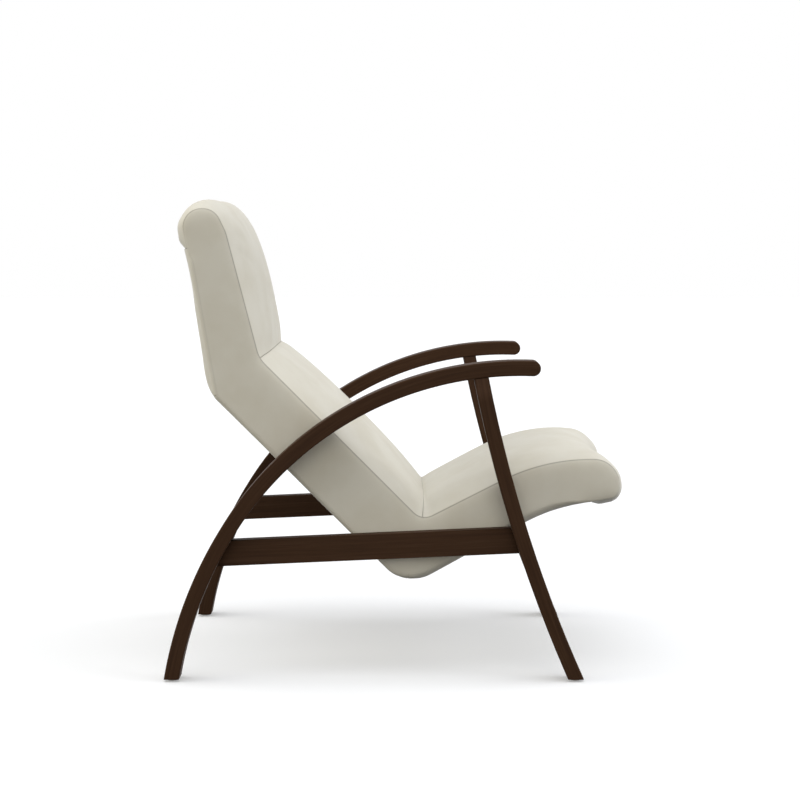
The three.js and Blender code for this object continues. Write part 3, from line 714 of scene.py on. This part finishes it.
def upholstery(sizes, lines, first, last, height_at, wrapped=False, to_fill=False):
    """Padding between two seams: full outside, flat on what carries it, and turned round onto the
    sides where it is wrapped. Where pressure is to fill it, its vertex weights say how firmly each
    point is held."""
    half = sizes.half_width - sizes.skin - SEAM_GAP
    ends = half + (WRAP_RUN if wrapped else 0)
    rows = graded(first + SEAM_GAP / 2, last - SEAM_GAP / 2, sizes.mesh_step)
    columns = graded(-ends, ends, sizes.mesh_step)
    bm = bmesh.new()
    # The seam attribute holds painted shade: how far the leather is darkened towards its seams
    seam = bm.verts.layers.float.new("seam")
    held = bm.verts.layers.deform.new() if to_fill else None
    bmesh.ops.create_grid(bm, x_segments=len(columns) - 1, y_segments=len(rows) - 1, size=1)
    for k, vert in enumerate(bm.verts):
        vert.co = (columns[k % len(columns)], rows[k // len(columns)], 0)
    outside = bm.verts[:]
    floor = verts_of(bmesh.ops.extrude_face_region(bm, geom=bm.faces[:])["geom"])
    for vert in floor:
        run = vert.co.y
        over = max(abs(vert.co.x) - half, 0) / WRAP_RUN
        place, facing = lines.at_run(lines.floor, run)
        deeper = over * max(lines.wrap_at(sizes, run)[0] - sizes.cover_depth, 0)
        x = min(abs(vert.co.x), half + over * WRAP_SPREAD)
        vert.co = in_space(copysign(x, vert.co.x), step(place, left(facing), deeper))
        vert[seam] = 1
        if to_fill:
            vert[held][0] = 1
    for vert in outside:
        run = vert.co.y
        place, facing = lines.at_run(lines.seam, run)
        wrap, soft = lines.wrap_at(sizes, run) if wrapped else (0, 0)
        out = min(wrap / sizes.back_wrap, 1)
        flat = half - soft
        turn = pi / 2 * max(abs(vert.co.x) - flat, 0) / (soft + WRAP_RUN)
        to_end = max(ends - abs(vert.co.x), 0)
        to_row = max(min(run - rows[0], rows[-1] - run), 0)
        side_fold = sizes.back_seam_fold if wrapped else sizes.seam_fold
        to_side_seam = folded(to_end, side_fold * lines.seam_at(run))
        to_cross_seam = folded(to_row, sizes.cross_fold) * cos(turn)
        height = height_at((run - first) / (last - first), min(abs(vert.co.x) / half, 1))
        if to_fill:
            free = ramp((min(to_end, to_row) - HELD_EDGE) / FREE_EDGE)
            vert[held][0] = 1 - free
            height -= sizes.slack * free
        height -= max(to_side_seam * (1 - sin(turn)), to_cross_seam) + wrap * (1 - cos(turn))
        x = min(abs(vert.co.x), flat) + (soft + (sizes.skin + SEAM_GAP) * out) * sin(turn)
        x -= to_side_seam * out * sin(turn)
        # Painted shade along the sides' seam and, less strongly, along the seams across the chair
        shade = lines.seam_at(run) * exp(-to_end / SEAM_SHADE_WIDTH)
        vert[seam] = max(shade, CROSS_SHADE * cos(turn) * exp(-to_row / SEAM_SHADE_WIDTH))
        vert.co = in_space(copysign(x, vert.co.x), step(place, right(facing), height))
    return bm


# The cloth simulation's length and its steps in each frame
SWELL_FRAMES = 20
SWELL_QUALITY = 5


def swell(piece, sizes):
    """Fills a pad by cloth simulation: pressure lifts its leather, while its seams and base hold."""
    held = piece.vertex_groups.new(name="held")
    cloth = piece.modifiers.new("swell", "CLOTH")
    cloth.settings.quality = SWELL_QUALITY
    cloth.settings.use_pressure = True
    cloth.settings.uniform_pressure_force = sizes.pressure
    cloth.settings.vertex_group_mass = held.name
    cloth.settings.effector_weights.gravity = 0
    cloth.collision_settings.use_collision = False
    scene = bpy.context.scene
    for number in range(1, SWELL_FRAMES + 1):
        scene.frame_set(number)
    swollen = piece.evaluated_get(bpy.context.evaluated_depsgraph_get()).to_mesh()
    moves = [after.co - before.co for before, after in zip(piece.data.vertices, swollen.vertices)]
    piece.modifiers.remove(cloth)
    for vert, move in zip(piece.data.vertices, moves):
        vert.co += move * min(1, sizes.swell_limit / max(move.length, TOUCH))
    piece.vertex_groups.remove(held)
    scene.frame_set(1)


# A side panel's rings, by their distance from its seam, and how far its back stays within them
PANEL_RINGS = [0, 0.0003, 0.0009, 0.0020, 0.0035, 0.0055, 0.0078, 0.0105, 0.0145, 0.0195]
PANEL_BACK_INSET = 0.0016
# Its fullness in the middle, as a share of its skin, and the width over which it is reached
PANEL_FULL = 1.06
PANEL_SOFT_EDGE = 0.030
# Spacing of its mesh and of the seam places that it is measured from, and the turn of a corner's step
PANEL_GRID = 0.012
PANEL_FINE = PANEL_GRID / 8
PANEL_TURN = radians(9)
# Height and breadth of its soft unevenness
PANEL_UNEVEN = 0.0006
PANEL_UNEVEN_SIZE = 0.11


def ring_places(lines, line, spacing):
    """Runs and places round a drawn line, as many on each line however far it is drawn in."""
    places = []
    for start, length_here, k, on_edge in lines.stretches:
        steps = ceil(length_here / spacing)
        if not on_edge:
            steps = max(steps, ceil(abs(lines.seam.corners[k][1]) / PANEL_TURN))
        at = line.on_edge if on_edge else line.on_corner
        places += [(start + length_here * j / steps, at(k, j / steps)[0]) for j in range(steps)]
    return places


def side_seam(sizes, lines, inset, spacing):
    """Runs and places round a side panel's seam line, drawn in by an inset."""
    most = max(sizes.under_wrap, sizes.back_wrap)
    plain = ring_places(lines, DrawnLine([inset] * len(CORNERS)), spacing)
    deep = ring_places(lines, DrawnLine([inset + most] * len(CORNERS)), spacing)
    return [
        (run, outer + (inner - outer) * lines.wrap_at(sizes, run)[0] / most)
        for (run, outer), (_, inner) in zip(plain, deep)]


def panel_rise(sizes, lines, run, gap):
    """How far a side's padding stands out, by its distance from its seam, as a share of its skin.

    It is softly rounded, but firm beside a cover that turns round the corner itself.
    """
    out = min(lines.wrap_at(sizes, run)[0] / sizes.back_wrap, 1)
    soft = sqrt(1 - (1 - min(gap / PANEL_SOFT_EDGE, 1)) ** 2)
    firm = 1 - folded(gap, sizes.back_seam_fold * lines.seam_at(run)) / sizes.skin
    return soft + (firm - soft) * out


def side_panel(sizes, lines, side):
    """A side panel: its edge turns in at the seam, and its face is softly padded."""
    bm = bmesh.new()
    seam = bm.verts.layers.float.new("seam")
    back = sizes.half_width - sizes.skin
    outline = side_seam(sizes, lines, PANEL_BACK_INSET, sizes.mesh_step)
    face = bm.faces.new([bm.verts.new(in_space(side * back, place)) for _, place in outline])
    grown = [face]
    for inset, raised in [(0, False), *((inset, True) for inset in PANEL_RINGS)]:
        made = bmesh.ops.extrude_face_region(bm, geom=grown)
        face = next(part for part in made["geom"] if isinstance(part, bmesh.types.BMFace))
        grown = [face, *face.edges, *face.verts]
        for vert, (run, place) in zip(face.verts, side_seam(sizes, lines, inset, sizes.mesh_step)):
            rise = panel_rise(sizes, lines, run, inset) if raised else 0
            vert.co = in_space(side * (back + sizes.skin * rise), place)
            # Painted shade along the seam, stored in the seam attribute
            vert[seam] = lines.seam_at(run) * exp(-inset / SEAM_SHADE_WIDTH)
    rim = set(face.verts)
    fine = side_seam(sizes, lines, 0, PANEL_FINE)
    tree = KDTree(len(fine))
    for k, (_, place) in enumerate(fine):
        tree.insert(in_space(0, place), k)
    tree.balance()
    inner = [face]
    low = [min(vert.co[axis] for vert in rim) for axis in range(3)]
    high = [max(vert.co[axis] for vert in rim) for axis in range(3)]
    for axis in (1, 2):
        normal = [float(k == axis) for k in range(3)]
        for k in range(1, ceil((high[axis] - low[axis]) / PANEL_GRID)):
            at = [low[j] + PANEL_GRID * k * normal[j] for j in range(3)]
            geom = inner + list({edge for part in inner for edge in part.edges})
            geom += list({vert for part in inner for vert in part.verts})
            cut = bmesh.ops.bisect_plane(bm, geom=geom, plane_co=at, plane_no=normal, dist=TOUCH)
            inner = [part for part in cut["geom"] if isinstance(part, bmesh.types.BMFace)]
    for vert in {vert for part in inner for vert in part.verts} - rim:
        _, k, gap = tree.find(in_space(0, in_plane(vert.co)))
        rise = panel_rise(sizes, lines, fine[k][0], gap)
        soft = 1 - exp(-max(gap - PANEL_RINGS[-1], 0) / PANEL_SOFT_EDGE)
        uneven = noise.noise(vert.co / PANEL_UNEVEN_SIZE + Vector((side, 0, 0))) * PANEL_UNEVEN
        rise += (PANEL_FULL - 1) * soft
        vert.co.x = side * (back + sizes.skin * rise + uneven * soft)
    return bm


# Shader nodes

def feed(tree, node, inputs):
    """Gives each input of a node its plain value or the output of another node."""
    for name, value in inputs.items():
        if isinstance(value, bpy.types.NodeSocket):
            tree.links.new(value, node.inputs[name])
        else:
            node.inputs[name].default_value = value


def add_node(tree, kind, inputs=None, stops=(), **settings):
    """Adds a node with its settings, links and a colour ramp's stops, and returns its outputs."""
    node = tree.nodes.new("ShaderNode" + kind)
    for name, value in settings.items():
        setattr(node, name, value)
    if stops:
        elements = node.color_ramp.elements
        while len(elements) < len(stops):
            elements.new(1)
        for element, (place, colour) in zip(elements, stops):
            element.position = place
            element.color = (*colour, 1)
    feed(tree, node, inputs or {})
    return node.outputs


def grey(value):
    return (value, value, value)


def millimetres(value):
    """The scale at which a pattern repeats every so many millimetres."""
    return 1000 / value


# Finishes: each function adds its nodes and returns what the shader's inputs take

def mottled(tree, size, detail, tones, gloss=(), bump=None, stretch=(1, 1, 1)):
    """Inputs from one noise, its size in millimetres: its tones, and where given its gloss or bump."""
    place = add_node(tree, "TexCoord")["Object"]
    stretched = add_node(tree, "Mapping", {"Vector": place, "Scale": stretch})["Vector"]
    cloud = add_node(tree, "TexNoise", {
        "Vector": stretched, "Scale": millimetres(size), "Detail": detail})["Fac"]
    inputs = {}
    for name, stops in (("Base Color", tones), ("Roughness", gloss)):
        if stops:
            inputs[name] = add_node(tree, "ValToRGB", {"Fac": cloud}, stops)["Color"]
    if bump:
        inputs["Normal"] = add_node(tree, "Bump", {"Height": cloud, **bump})["Normal"]
    return inputs


def pigmented_smooth_leather(tree, colours):
    """Pigmented smooth leather, drummed and pressed: an even off-white with a fine pebble, soft
    cloudy patches and a dull, slightly waxy sheen, with painted shade down in the seams."""
    place = add_node(tree, "TexCoord")["Object"]
    clouds = add_node(tree, "TexNoise", {
        "Vector": place, "Scale": millimetres(95), "Detail": 3, "Roughness": 0.55})["Fac"]
    tone = add_node(tree, "ValToRGB", {"Fac": clouds}, [
        (0.35, colours.leather_shade), (0.62, colours.leather)])["Color"]
    # Painted shade: the seam attribute darkens the leather towards its seam colour
    seam = add_node(tree, "Attribute", attribute_name="seam")["Fac"]
    tone_with_painted_seam_shade = add_node(tree, "Mix", {0: seam, 6: tone, 7: (*colours.painted_seam_shade, 1)}, data_type="RGBA")[2]
    pebble = add_node(tree, "TexVoronoi", {
        "Vector": place, "Scale": millimetres(1.8), "Smoothness": 0.6}, feature="SMOOTH_F1")["Distance"]
    wrinkle = add_node(tree, "TexNoise", {
        "Vector": place, "Scale": millimetres(14), "Detail": 5, "Roughness": 0.6})["Fac"]
    height = add_node(tree, "Math", {0: pebble, 1: wrinkle}, operation="ADD")["Value"]
    bump = add_node(tree, "Bump", {"Height": height, "Strength": 0.16, "Distance": 0.0005})
    gloss = add_node(tree, "ValToRGB", {"Fac": wrinkle}, [(0.3, grey(0.5)), (0.7, grey(0.58))])
    return {"Base Color": tone_with_painted_seam_shade, "Roughness": gloss["Color"], "Normal": bump["Normal"]}


def stained_laminated_beech(tree, colours):
    """Laminated beech, dark stained under satin lacquer: thin veneers that follow the bend, long
    faint streaks and fine pores, and a soft even gloss."""
    veneer_thickness, waviness, line_share, line_tone = 3.5, 0.0012, 0.12, 0.86
    grain = add_node(tree, "Attribute", attribute_name="grain")["Vector"]
    stretched = add_node(tree, "Mapping", {"Vector": grain, "Scale": (1, 1, 0.035)})["Vector"]
    streaks = add_node(tree, "TexNoise", {
        "Vector": stretched, "Scale": millimetres(5), "Detail": 6, "Roughness": 0.62})["Fac"]
    pores = add_node(tree, "TexNoise", {"Vector": stretched, "Scale": millimetres(0.9), "Detail": 2})["Fac"]
    off = add_node(tree, "SeparateXYZ", {"Vector": grain})["Y"]
    wavy = add_node(tree, "Math", {0: streaks, 1: waviness, 2: off}, operation="MULTIPLY_ADD")["Value"]
    veneer = add_node(tree, "Math", {
        0: wavy, 1: millimetres(veneer_thickness)}, operation="MULTIPLY")["Value"]
    line = add_node(tree, "Math", {0: veneer, 1: 1.0}, operation="PINGPONG")["Value"]
    tone = add_node(tree, "ValToRGB", {"Fac": streaks}, [
        (0.3, colours.wood_dark), (0.52, colours.wood), (0.8, colours.wood_light)])["Color"]
    lined = add_node(tree, "MapRange", {
        "Value": line, "From Max": line_share, "To Min": line_tone})["Result"]
    colour = add_node(tree, "VectorMath", {0: tone, "Scale": lined}, operation="SCALE")
    height = add_node(tree, "Math", {0: pores, 1: streaks}, operation="ADD")["Value"]
    bump = add_node(tree, "Bump", {"Height": height, "Strength": 0.12, "Distance": 0.0002})
    gloss = add_node(tree, "ValToRGB", {"Fac": pores}, [(0.3, grey(0.58)), (0.7, grey(0.5))])
    return {
        "Specular IOR Level": 0.05, "Base Color": colour["Vector"],
        "Roughness": gloss["Color"], "Normal": bump["Normal"]}


def birch_plywood(tree, colours):
    """Birch plywood, sawn and sanded: pale flat face with long soft figure, matt and dry."""
    pale = [min(1, part * 1.12) for part in colours.plywood]
    return {"Roughness": 0.72, **mottled(
        tree, size=9, detail=5, tones=[(0.3, colours.plywood), (0.7, pale)],
        bump={"Strength": 0.2, "Distance": 0.0003}, stretch=(1, 1, 0.08))}


# A wave texture's own factor on its scale
WAVE_SCALE = 20


def woven_elastic_webbing(tree, colours):
    """Polypropylene and rubber webbing, woven flat: dull dark yarn in a 3 mm rib, which is drawn
    about six times as coarse so that it shows."""
    light = [min(1, part * 1.5) for part in colours.webbing]
    place = add_node(tree, "TexCoord")["Object"]
    rib = add_node(tree, "TexWave", {
        "Vector": place, "Scale": millimetres(3) / WAVE_SCALE, "Distortion": 0.4})["Fac"]
    tone = add_node(tree, "ValToRGB", {"Fac": rib}, [(0.2, colours.webbing), (0.8, light)])
    bump = add_node(tree, "Bump", {"Height": rib, "Strength": 0.5, "Distance": 0.0006})
    return {"Roughness": 0.85, "Base Color": tone["Color"], "Normal": bump["Normal"]}


def zinc_plated_steel(tree, colours):
    """Steel, zinc plated and clear passivated: bright but slightly cloudy metal."""
    dull = [part * 0.82 for part in colours.zinc]
    return {"Metallic": 1, **mottled(
        tree, size=3, detail=3, tones=[(0.3, dull), (0.7, colours.zinc)],
        gloss=[(0.3, grey(0.42)), (0.7, grey(0.3))])}


def moulded_epdm_rubber(tree, colours):
    """EPDM rubber, moulded: black with a dry grey bloom and a fine matt skin."""
    bloom = [part * 1.7 + 0.004 for part in colours.rubber]
    return {"Roughness": 0.78, **mottled(
        tree, size=4, detail=4, tones=[(0.4, colours.rubber), (0.75, bloom)],
        bump={"Strength": 0.1, "Distance": 0.0002})}


def moulded_nylon(tree, colours):
    """Natural nylon, injection moulded: pale and slightly waxy, with fine dull scuffs."""
    worn = [part * 0.85 for part in colours.nylon]
    return {"Subsurface Weight": 0.15, **mottled(
        tree, size=2.5, detail=5, tones=[(0.35, worn), (0.6, colours.nylon)],
        gloss=[(0.35, grey(0.6)), (0.6, grey(0.42))])}


@cache
def finish(describe):
    """The material that a finish function describes, made once."""
    material = bpy.data.materials.new(describe.__name__)
    material.use_nodes = True
    tree = material.node_tree
    feed(tree, tree.nodes["Principled BSDF"], describe(tree, bpy.context.scene.chair_finishes))
    return material


SLOT_FINISHES = {
    "bent_wood": stained_laminated_beech, "upholstery": pigmented_smooth_leather,
    "glide_plastic": moulded_nylon}
INNER_FINISHES = {
    "dowel": birch_plywood, "plate": birch_plywood, "rail": birch_plywood,
    "strap": woven_elastic_webbing, "insert": zinc_plated_steel, "bolt": zinc_plated_steel,
    "spacer": moulded_epdm_rubber}


# The studio

# The floor's size, the share of the light that it sends up to the chair, and the lights' breadth
FLOOR_SIZE = 40
FLOOR_BOUNCE = 0.07
LIGHT_SPREAD = radians(60)
WHITE = (1, 1, 1)


def soft_sun(name, strength, lean, heading, colour):
    """A broad far light: it leans from straight above towards a heading, from +Y towards -X."""
    light = bpy.data.lights.new(name, "SUN")
    light.energy = strength
    light.angle = LIGHT_SPREAD
    light.color = colour
    from_place = Vector((-sin(lean) * sin(heading), sin(lean) * cos(heading), cos(lean)))
    add_object(name, light).rotation_euler = (-from_place).to_track_quat("-Z", "Y").to_euler()


def seen_directly(tree):
    """1 for rays from the camera and for rays that a glossy or clear surface sends on."""
    rays = add_node(tree, "LightPath")
    seen = rays["Is Camera Ray"]
    for kind in ("Is Glossy Ray", "Is Transmission Ray"):
        seen = add_node(tree, "Math", {0: seen, 1: rays[kind]}, operation="MAXIMUM")["Value"]
    return seen


def empty_tree(block):
    """The node tree of a new material or world, with nothing in it."""
    block.use_nodes = True
    block.node_tree.nodes.clear()
    return block.node_tree


def white_floor(studio):
    """Seamless white studio paper: seen white, and as light as a soft shadow leaves it."""
    material = bpy.data.materials.new("white_studio_paper")
    tree = empty_tree(material)
    shaded = add_node(tree, "BsdfDiffuse", {"Color": (*studio.floor, 1)})
    glow = add_node(tree, "Emission", {"Strength": studio.floor_glow})
    seen = add_node(tree, "AddShader", {0: shaded[0], 1: glow[0]})
    bounce = add_node(tree, "BsdfDiffuse", {"Color": (*grey(FLOOR_BOUNCE), 1)})
    mixed = add_node(tree, "MixShader", {0: seen_directly(tree), 1: bounce[0], 2: seen[0]})
    add_node(tree, "OutputMaterial", {"Surface": mixed[0]})
    return material


def white_surroundings(studio):
    """A white room: it shows pure white and lights the chair evenly at its own strength."""
    world = bpy.data.worlds.new("white_room")
    tree = empty_tree(world)
    even, white = (
        add_node(tree, "Background", {"Color": (*WHITE, 1), "Strength": level})[0]
        for level in (studio.ambient, 1))
    mixed = add_node(tree, "MixShader", {0: seen_directly(tree), 1: even, 2: white})
    add_node(tree, "OutputWorld", {"Surface": mixed[0]})
    return world


# Operators: one for each group of like pieces and one for the studio

def add_bars(make, name, node, start, inward=0):
    """Makes one wood bar of each side frame; its start in the grain gives it a figure of its own."""
    sizes = bpy.context.scene.chair_frame
    for side, sign in SIDES.items():
        bm = make(sizes, sign * (sizes.middle - inward), start + sign)
        make_piece(bm, f"{side}_{name}", "bent_wood", [f"{side}_{node}"])


class CHAIR_OT_bent_legs(bpy.types.Operator):
    """Make the two bent pieces that are arm and rear leg in one"""
    bl_idname = "chair.bent_legs"
    bl_label = "Arms and rear legs"

    def execute(self, context):
        add_bars(bent_leg, "bent_arm_and_leg", "arm_rear_leg", start=0)
        return {"FINISHED"}


class CHAIR_OT_front_legs(bpy.types.Operator):
    """Make the two front legs"""
    bl_idname = "chair.front_legs"
    bl_label = "Front legs"

    def execute(self, context):
        add_bars(front_leg, "bowed_front_leg", "front_leg", start=3)
        return {"FINISHED"}


class CHAIR_OT_side_rails(bpy.types.Operator):
    """Make the two rails between the legs"""
    bl_idname = "chair.side_rails"
    bl_label = "Side rails"

    def execute(self, context):
        sizes = context.scene.chair_frame
        inward = (sizes.width - sizes.rail_thickness) / 2
        add_bars(side_rail, "straight_rail", "side_rail", start=7, inward=inward)
        return {"FINISHED"}


class CHAIR_OT_glides(bpy.types.Operator):
    """Make the four glides under the feet"""
    bl_idname = "chair.glides"
    bl_label = "Foot glides"

    def execute(self, context):
        sizes = context.scene.chair_frame
        for side, sign in SIDES.items():
            for foot, y in (("rear", sizes.rear_foot_y), ("front", sizes.front_foot_y)):
                bm = glide(sizes, sign * sizes.middle, y)
                make_piece(bm, f"{side}_{foot}_foot_glide", "glide_plastic", [f"{side}_{foot}_glide"])
        return {"FINISHED"}


class CHAIR_OT_side_panels(bpy.types.Operator):
    """Make the shell's two upholstered sides"""
    bl_idname = "chair.side_panels"
    bl_label = "Side panels"

    def execute(self, context):
        sizes = context.scene.chair_shell
        lines = ShellLines(sizes)
        for side, sign in SIDES.items():
            bm = side_panel(sizes, lines, sign)
            make_piece(bm, f"{side}_upholstered_side", "upholstery", [f"{side}_side_panel"], padding=1)
        return {"FINISHED"}


class CHAIR_OT_pads(bpy.types.Operator):
    """Make the crowned seat, lumbar and head pads"""
    bl_idname = "chair.pads"
    bl_label = "Pads"

    def execute(self, context):
        sizes = context.scene.chair_shell
        lines = ShellLines(sizes)
        crease = lines.middle_of("crease")
        junction = lines.middle_of("junction")
        pads = {
            "seat": (crease, lines.under_starts, fullness(
                (sizes.seat_crown, SEAT_CROWN, crown), (sizes.seat_ear, SEAT_EAR, ear),
                (sizes.seat_dish, SEAT_DISH, dish))),
            "lumbar": (junction, lines.whole + crease, fullness(
                (sizes.lumbar_crown, LUMBAR_CROWN, crown))),
            "head": (lines.back_ends, junction, fullness(
                (sizes.head_crown, HEAD_CROWN, crown), (sizes.head_roll, HEAD_ROLL, roll))),
        }
        to_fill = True
        for name, (first, last, height_at) in pads.items():
            bm = upholstery(sizes, lines, first, last, height_at, to_fill=to_fill)
            pad = make_piece(bm, f"{name}_cushion", "upholstery", [f"{name}_pad"], padding=0.9)
            if to_fill:
                swell(pad, sizes)
        return {"FINISHED"}


class CHAIR_OT_covers(bpy.types.Operator):
    """Make the plain upholstery under the seat and over the back"""
    bl_idname = "chair.covers"
    bl_label = "Rear and lower covers"

    def execute(self, context):
        sizes = context.scene.chair_shell
        lines = ShellLines(sizes)
        belly = lines.middle_of("belly")
        kink = lines.middle_of("kink")
        covers = {
            "under_seat": (lines.under_starts, belly, sizes.under_seat_roll, COVER_ROLL),
            "lower_back": (belly, kink, sizes.lower_back_roll, LOWER_BACK_ROLL),
            "upper_back": (kink, lines.back_ends, sizes.upper_back_roll, UPPER_BACK_ROLL),
        }
        for name, (first, last, height, table) in covers.items():
            bm = upholstery(sizes, lines, first, last, fullness((height, table, roll)), wrapped=True)
            make_piece(bm, f"{name}_upholstery", "upholstery", [f"{name}_cover"], padding=1)
        return {"FINISHED"}


class CHAIR_OT_inner_parts(bpy.types.Operator):
    """Give the joints, plates, cross rails, straps and fixings their finishes"""
    bl_idname = "chair.inner_parts"
    bl_label = "Inner parts"

    def execute(self, context):
        for name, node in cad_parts.items():
            kind = name.rstrip("_0123456789").split("_")[-1]
            if kind in INNER_FINISHES and not name.endswith("side_rail"):
                node.data.materials.clear()
                node.data.materials.append(finish(INNER_FINISHES[kind]))
        return {"FINISHED"}


class CHAIR_OT_studio(bpy.types.Operator):
    """Set up the floor, the lights, the white surroundings and the camera"""
    bl_idname = "chair.studio"
    bl_label = "Studio"

    def execute(self, context):
        scene = context.scene
        studio = scene.chair_studio
        bm = bmesh.new()
        bmesh.ops.create_grid(bm, x_segments=1, y_segments=1, size=FLOOR_SIZE / 2)
        floor = add_mesh(bm, "studio_floor", white_floor(studio))
        scene.world = white_surroundings(studio)
        for name, energy, lean, heading, colour in (
                ("overhead", studio.top_light, 8, 60, WHITE),
                ("front", studio.front_light, 65, 180, WHITE),
                ("rear", studio.rear_light, 82, 0, studio.fill_tint),
                ("side", studio.side_light, 75, 90, studio.fill_tint)):
            soft_sun(f"{name}_softbox", energy, radians(lean), radians(heading), colour)
        camera = bpy.data.cameras.new("camera")
        camera.lens = studio.lens
        camera.clip_end = FLOOR_SIZE * 2
        holder = add_object("camera", camera)
        holder.location = studio.camera_place
        holder.rotation_euler = (pi / 2 - studio.camera_pitch, 0, -pi / 2)
        scene.camera = holder
        scene.view_settings.view_transform = "Standard"
        return {"FINISHED"}


class CHAIR_PT_lounge_chair(bpy.types.Panel):
    """The steps that make the chair"""
    bl_idname = "CHAIR_PT_lounge_chair"
    bl_label = "Lounge chair"
    bl_space_type = "VIEW_3D"
    bl_region_type = "UI"
    bl_category = "Lounge chair"

    def draw(self, context):
        for step_class in STEPS:
            self.layout.operator(step_class.bl_idname)


STEPS = (
    CHAIR_OT_bent_legs,
    CHAIR_OT_front_legs,
    CHAIR_OT_side_rails,
    CHAIR_OT_glides,
    CHAIR_OT_side_panels,
    CHAIR_OT_pads,
    CHAIR_OT_covers,
    CHAIR_OT_inner_parts,
    CHAIR_OT_studio,
)
SETTINGS = {
    "chair_frame": SideFrameSizes,
    "chair_shell": ShellSizes,
    "chair_finishes": Finishes,
    "chair_studio": StudioSettings,
}


def register():
    for group in (*SETTINGS.values(), *STEPS, CHAIR_PT_lounge_chair):
        bpy.utils.register_class(group)
    for name, group in SETTINGS.items():
        setattr(bpy.types.Scene, name, PointerProperty(type=group))


def unregister():
    for name in SETTINGS:
        delattr(bpy.types.Scene, name)
    for group in (CHAIR_PT_lounge_chair, *reversed(STEPS), *SETTINGS.values()):
        bpy.utils.unregister_class(group)


def main():
    register()
    for step_class in STEPS:
        category, name = step_class.bl_idname.split(".")
        getattr(getattr(bpy.ops, category), name)()


if __name__ == "__main__":
    main()
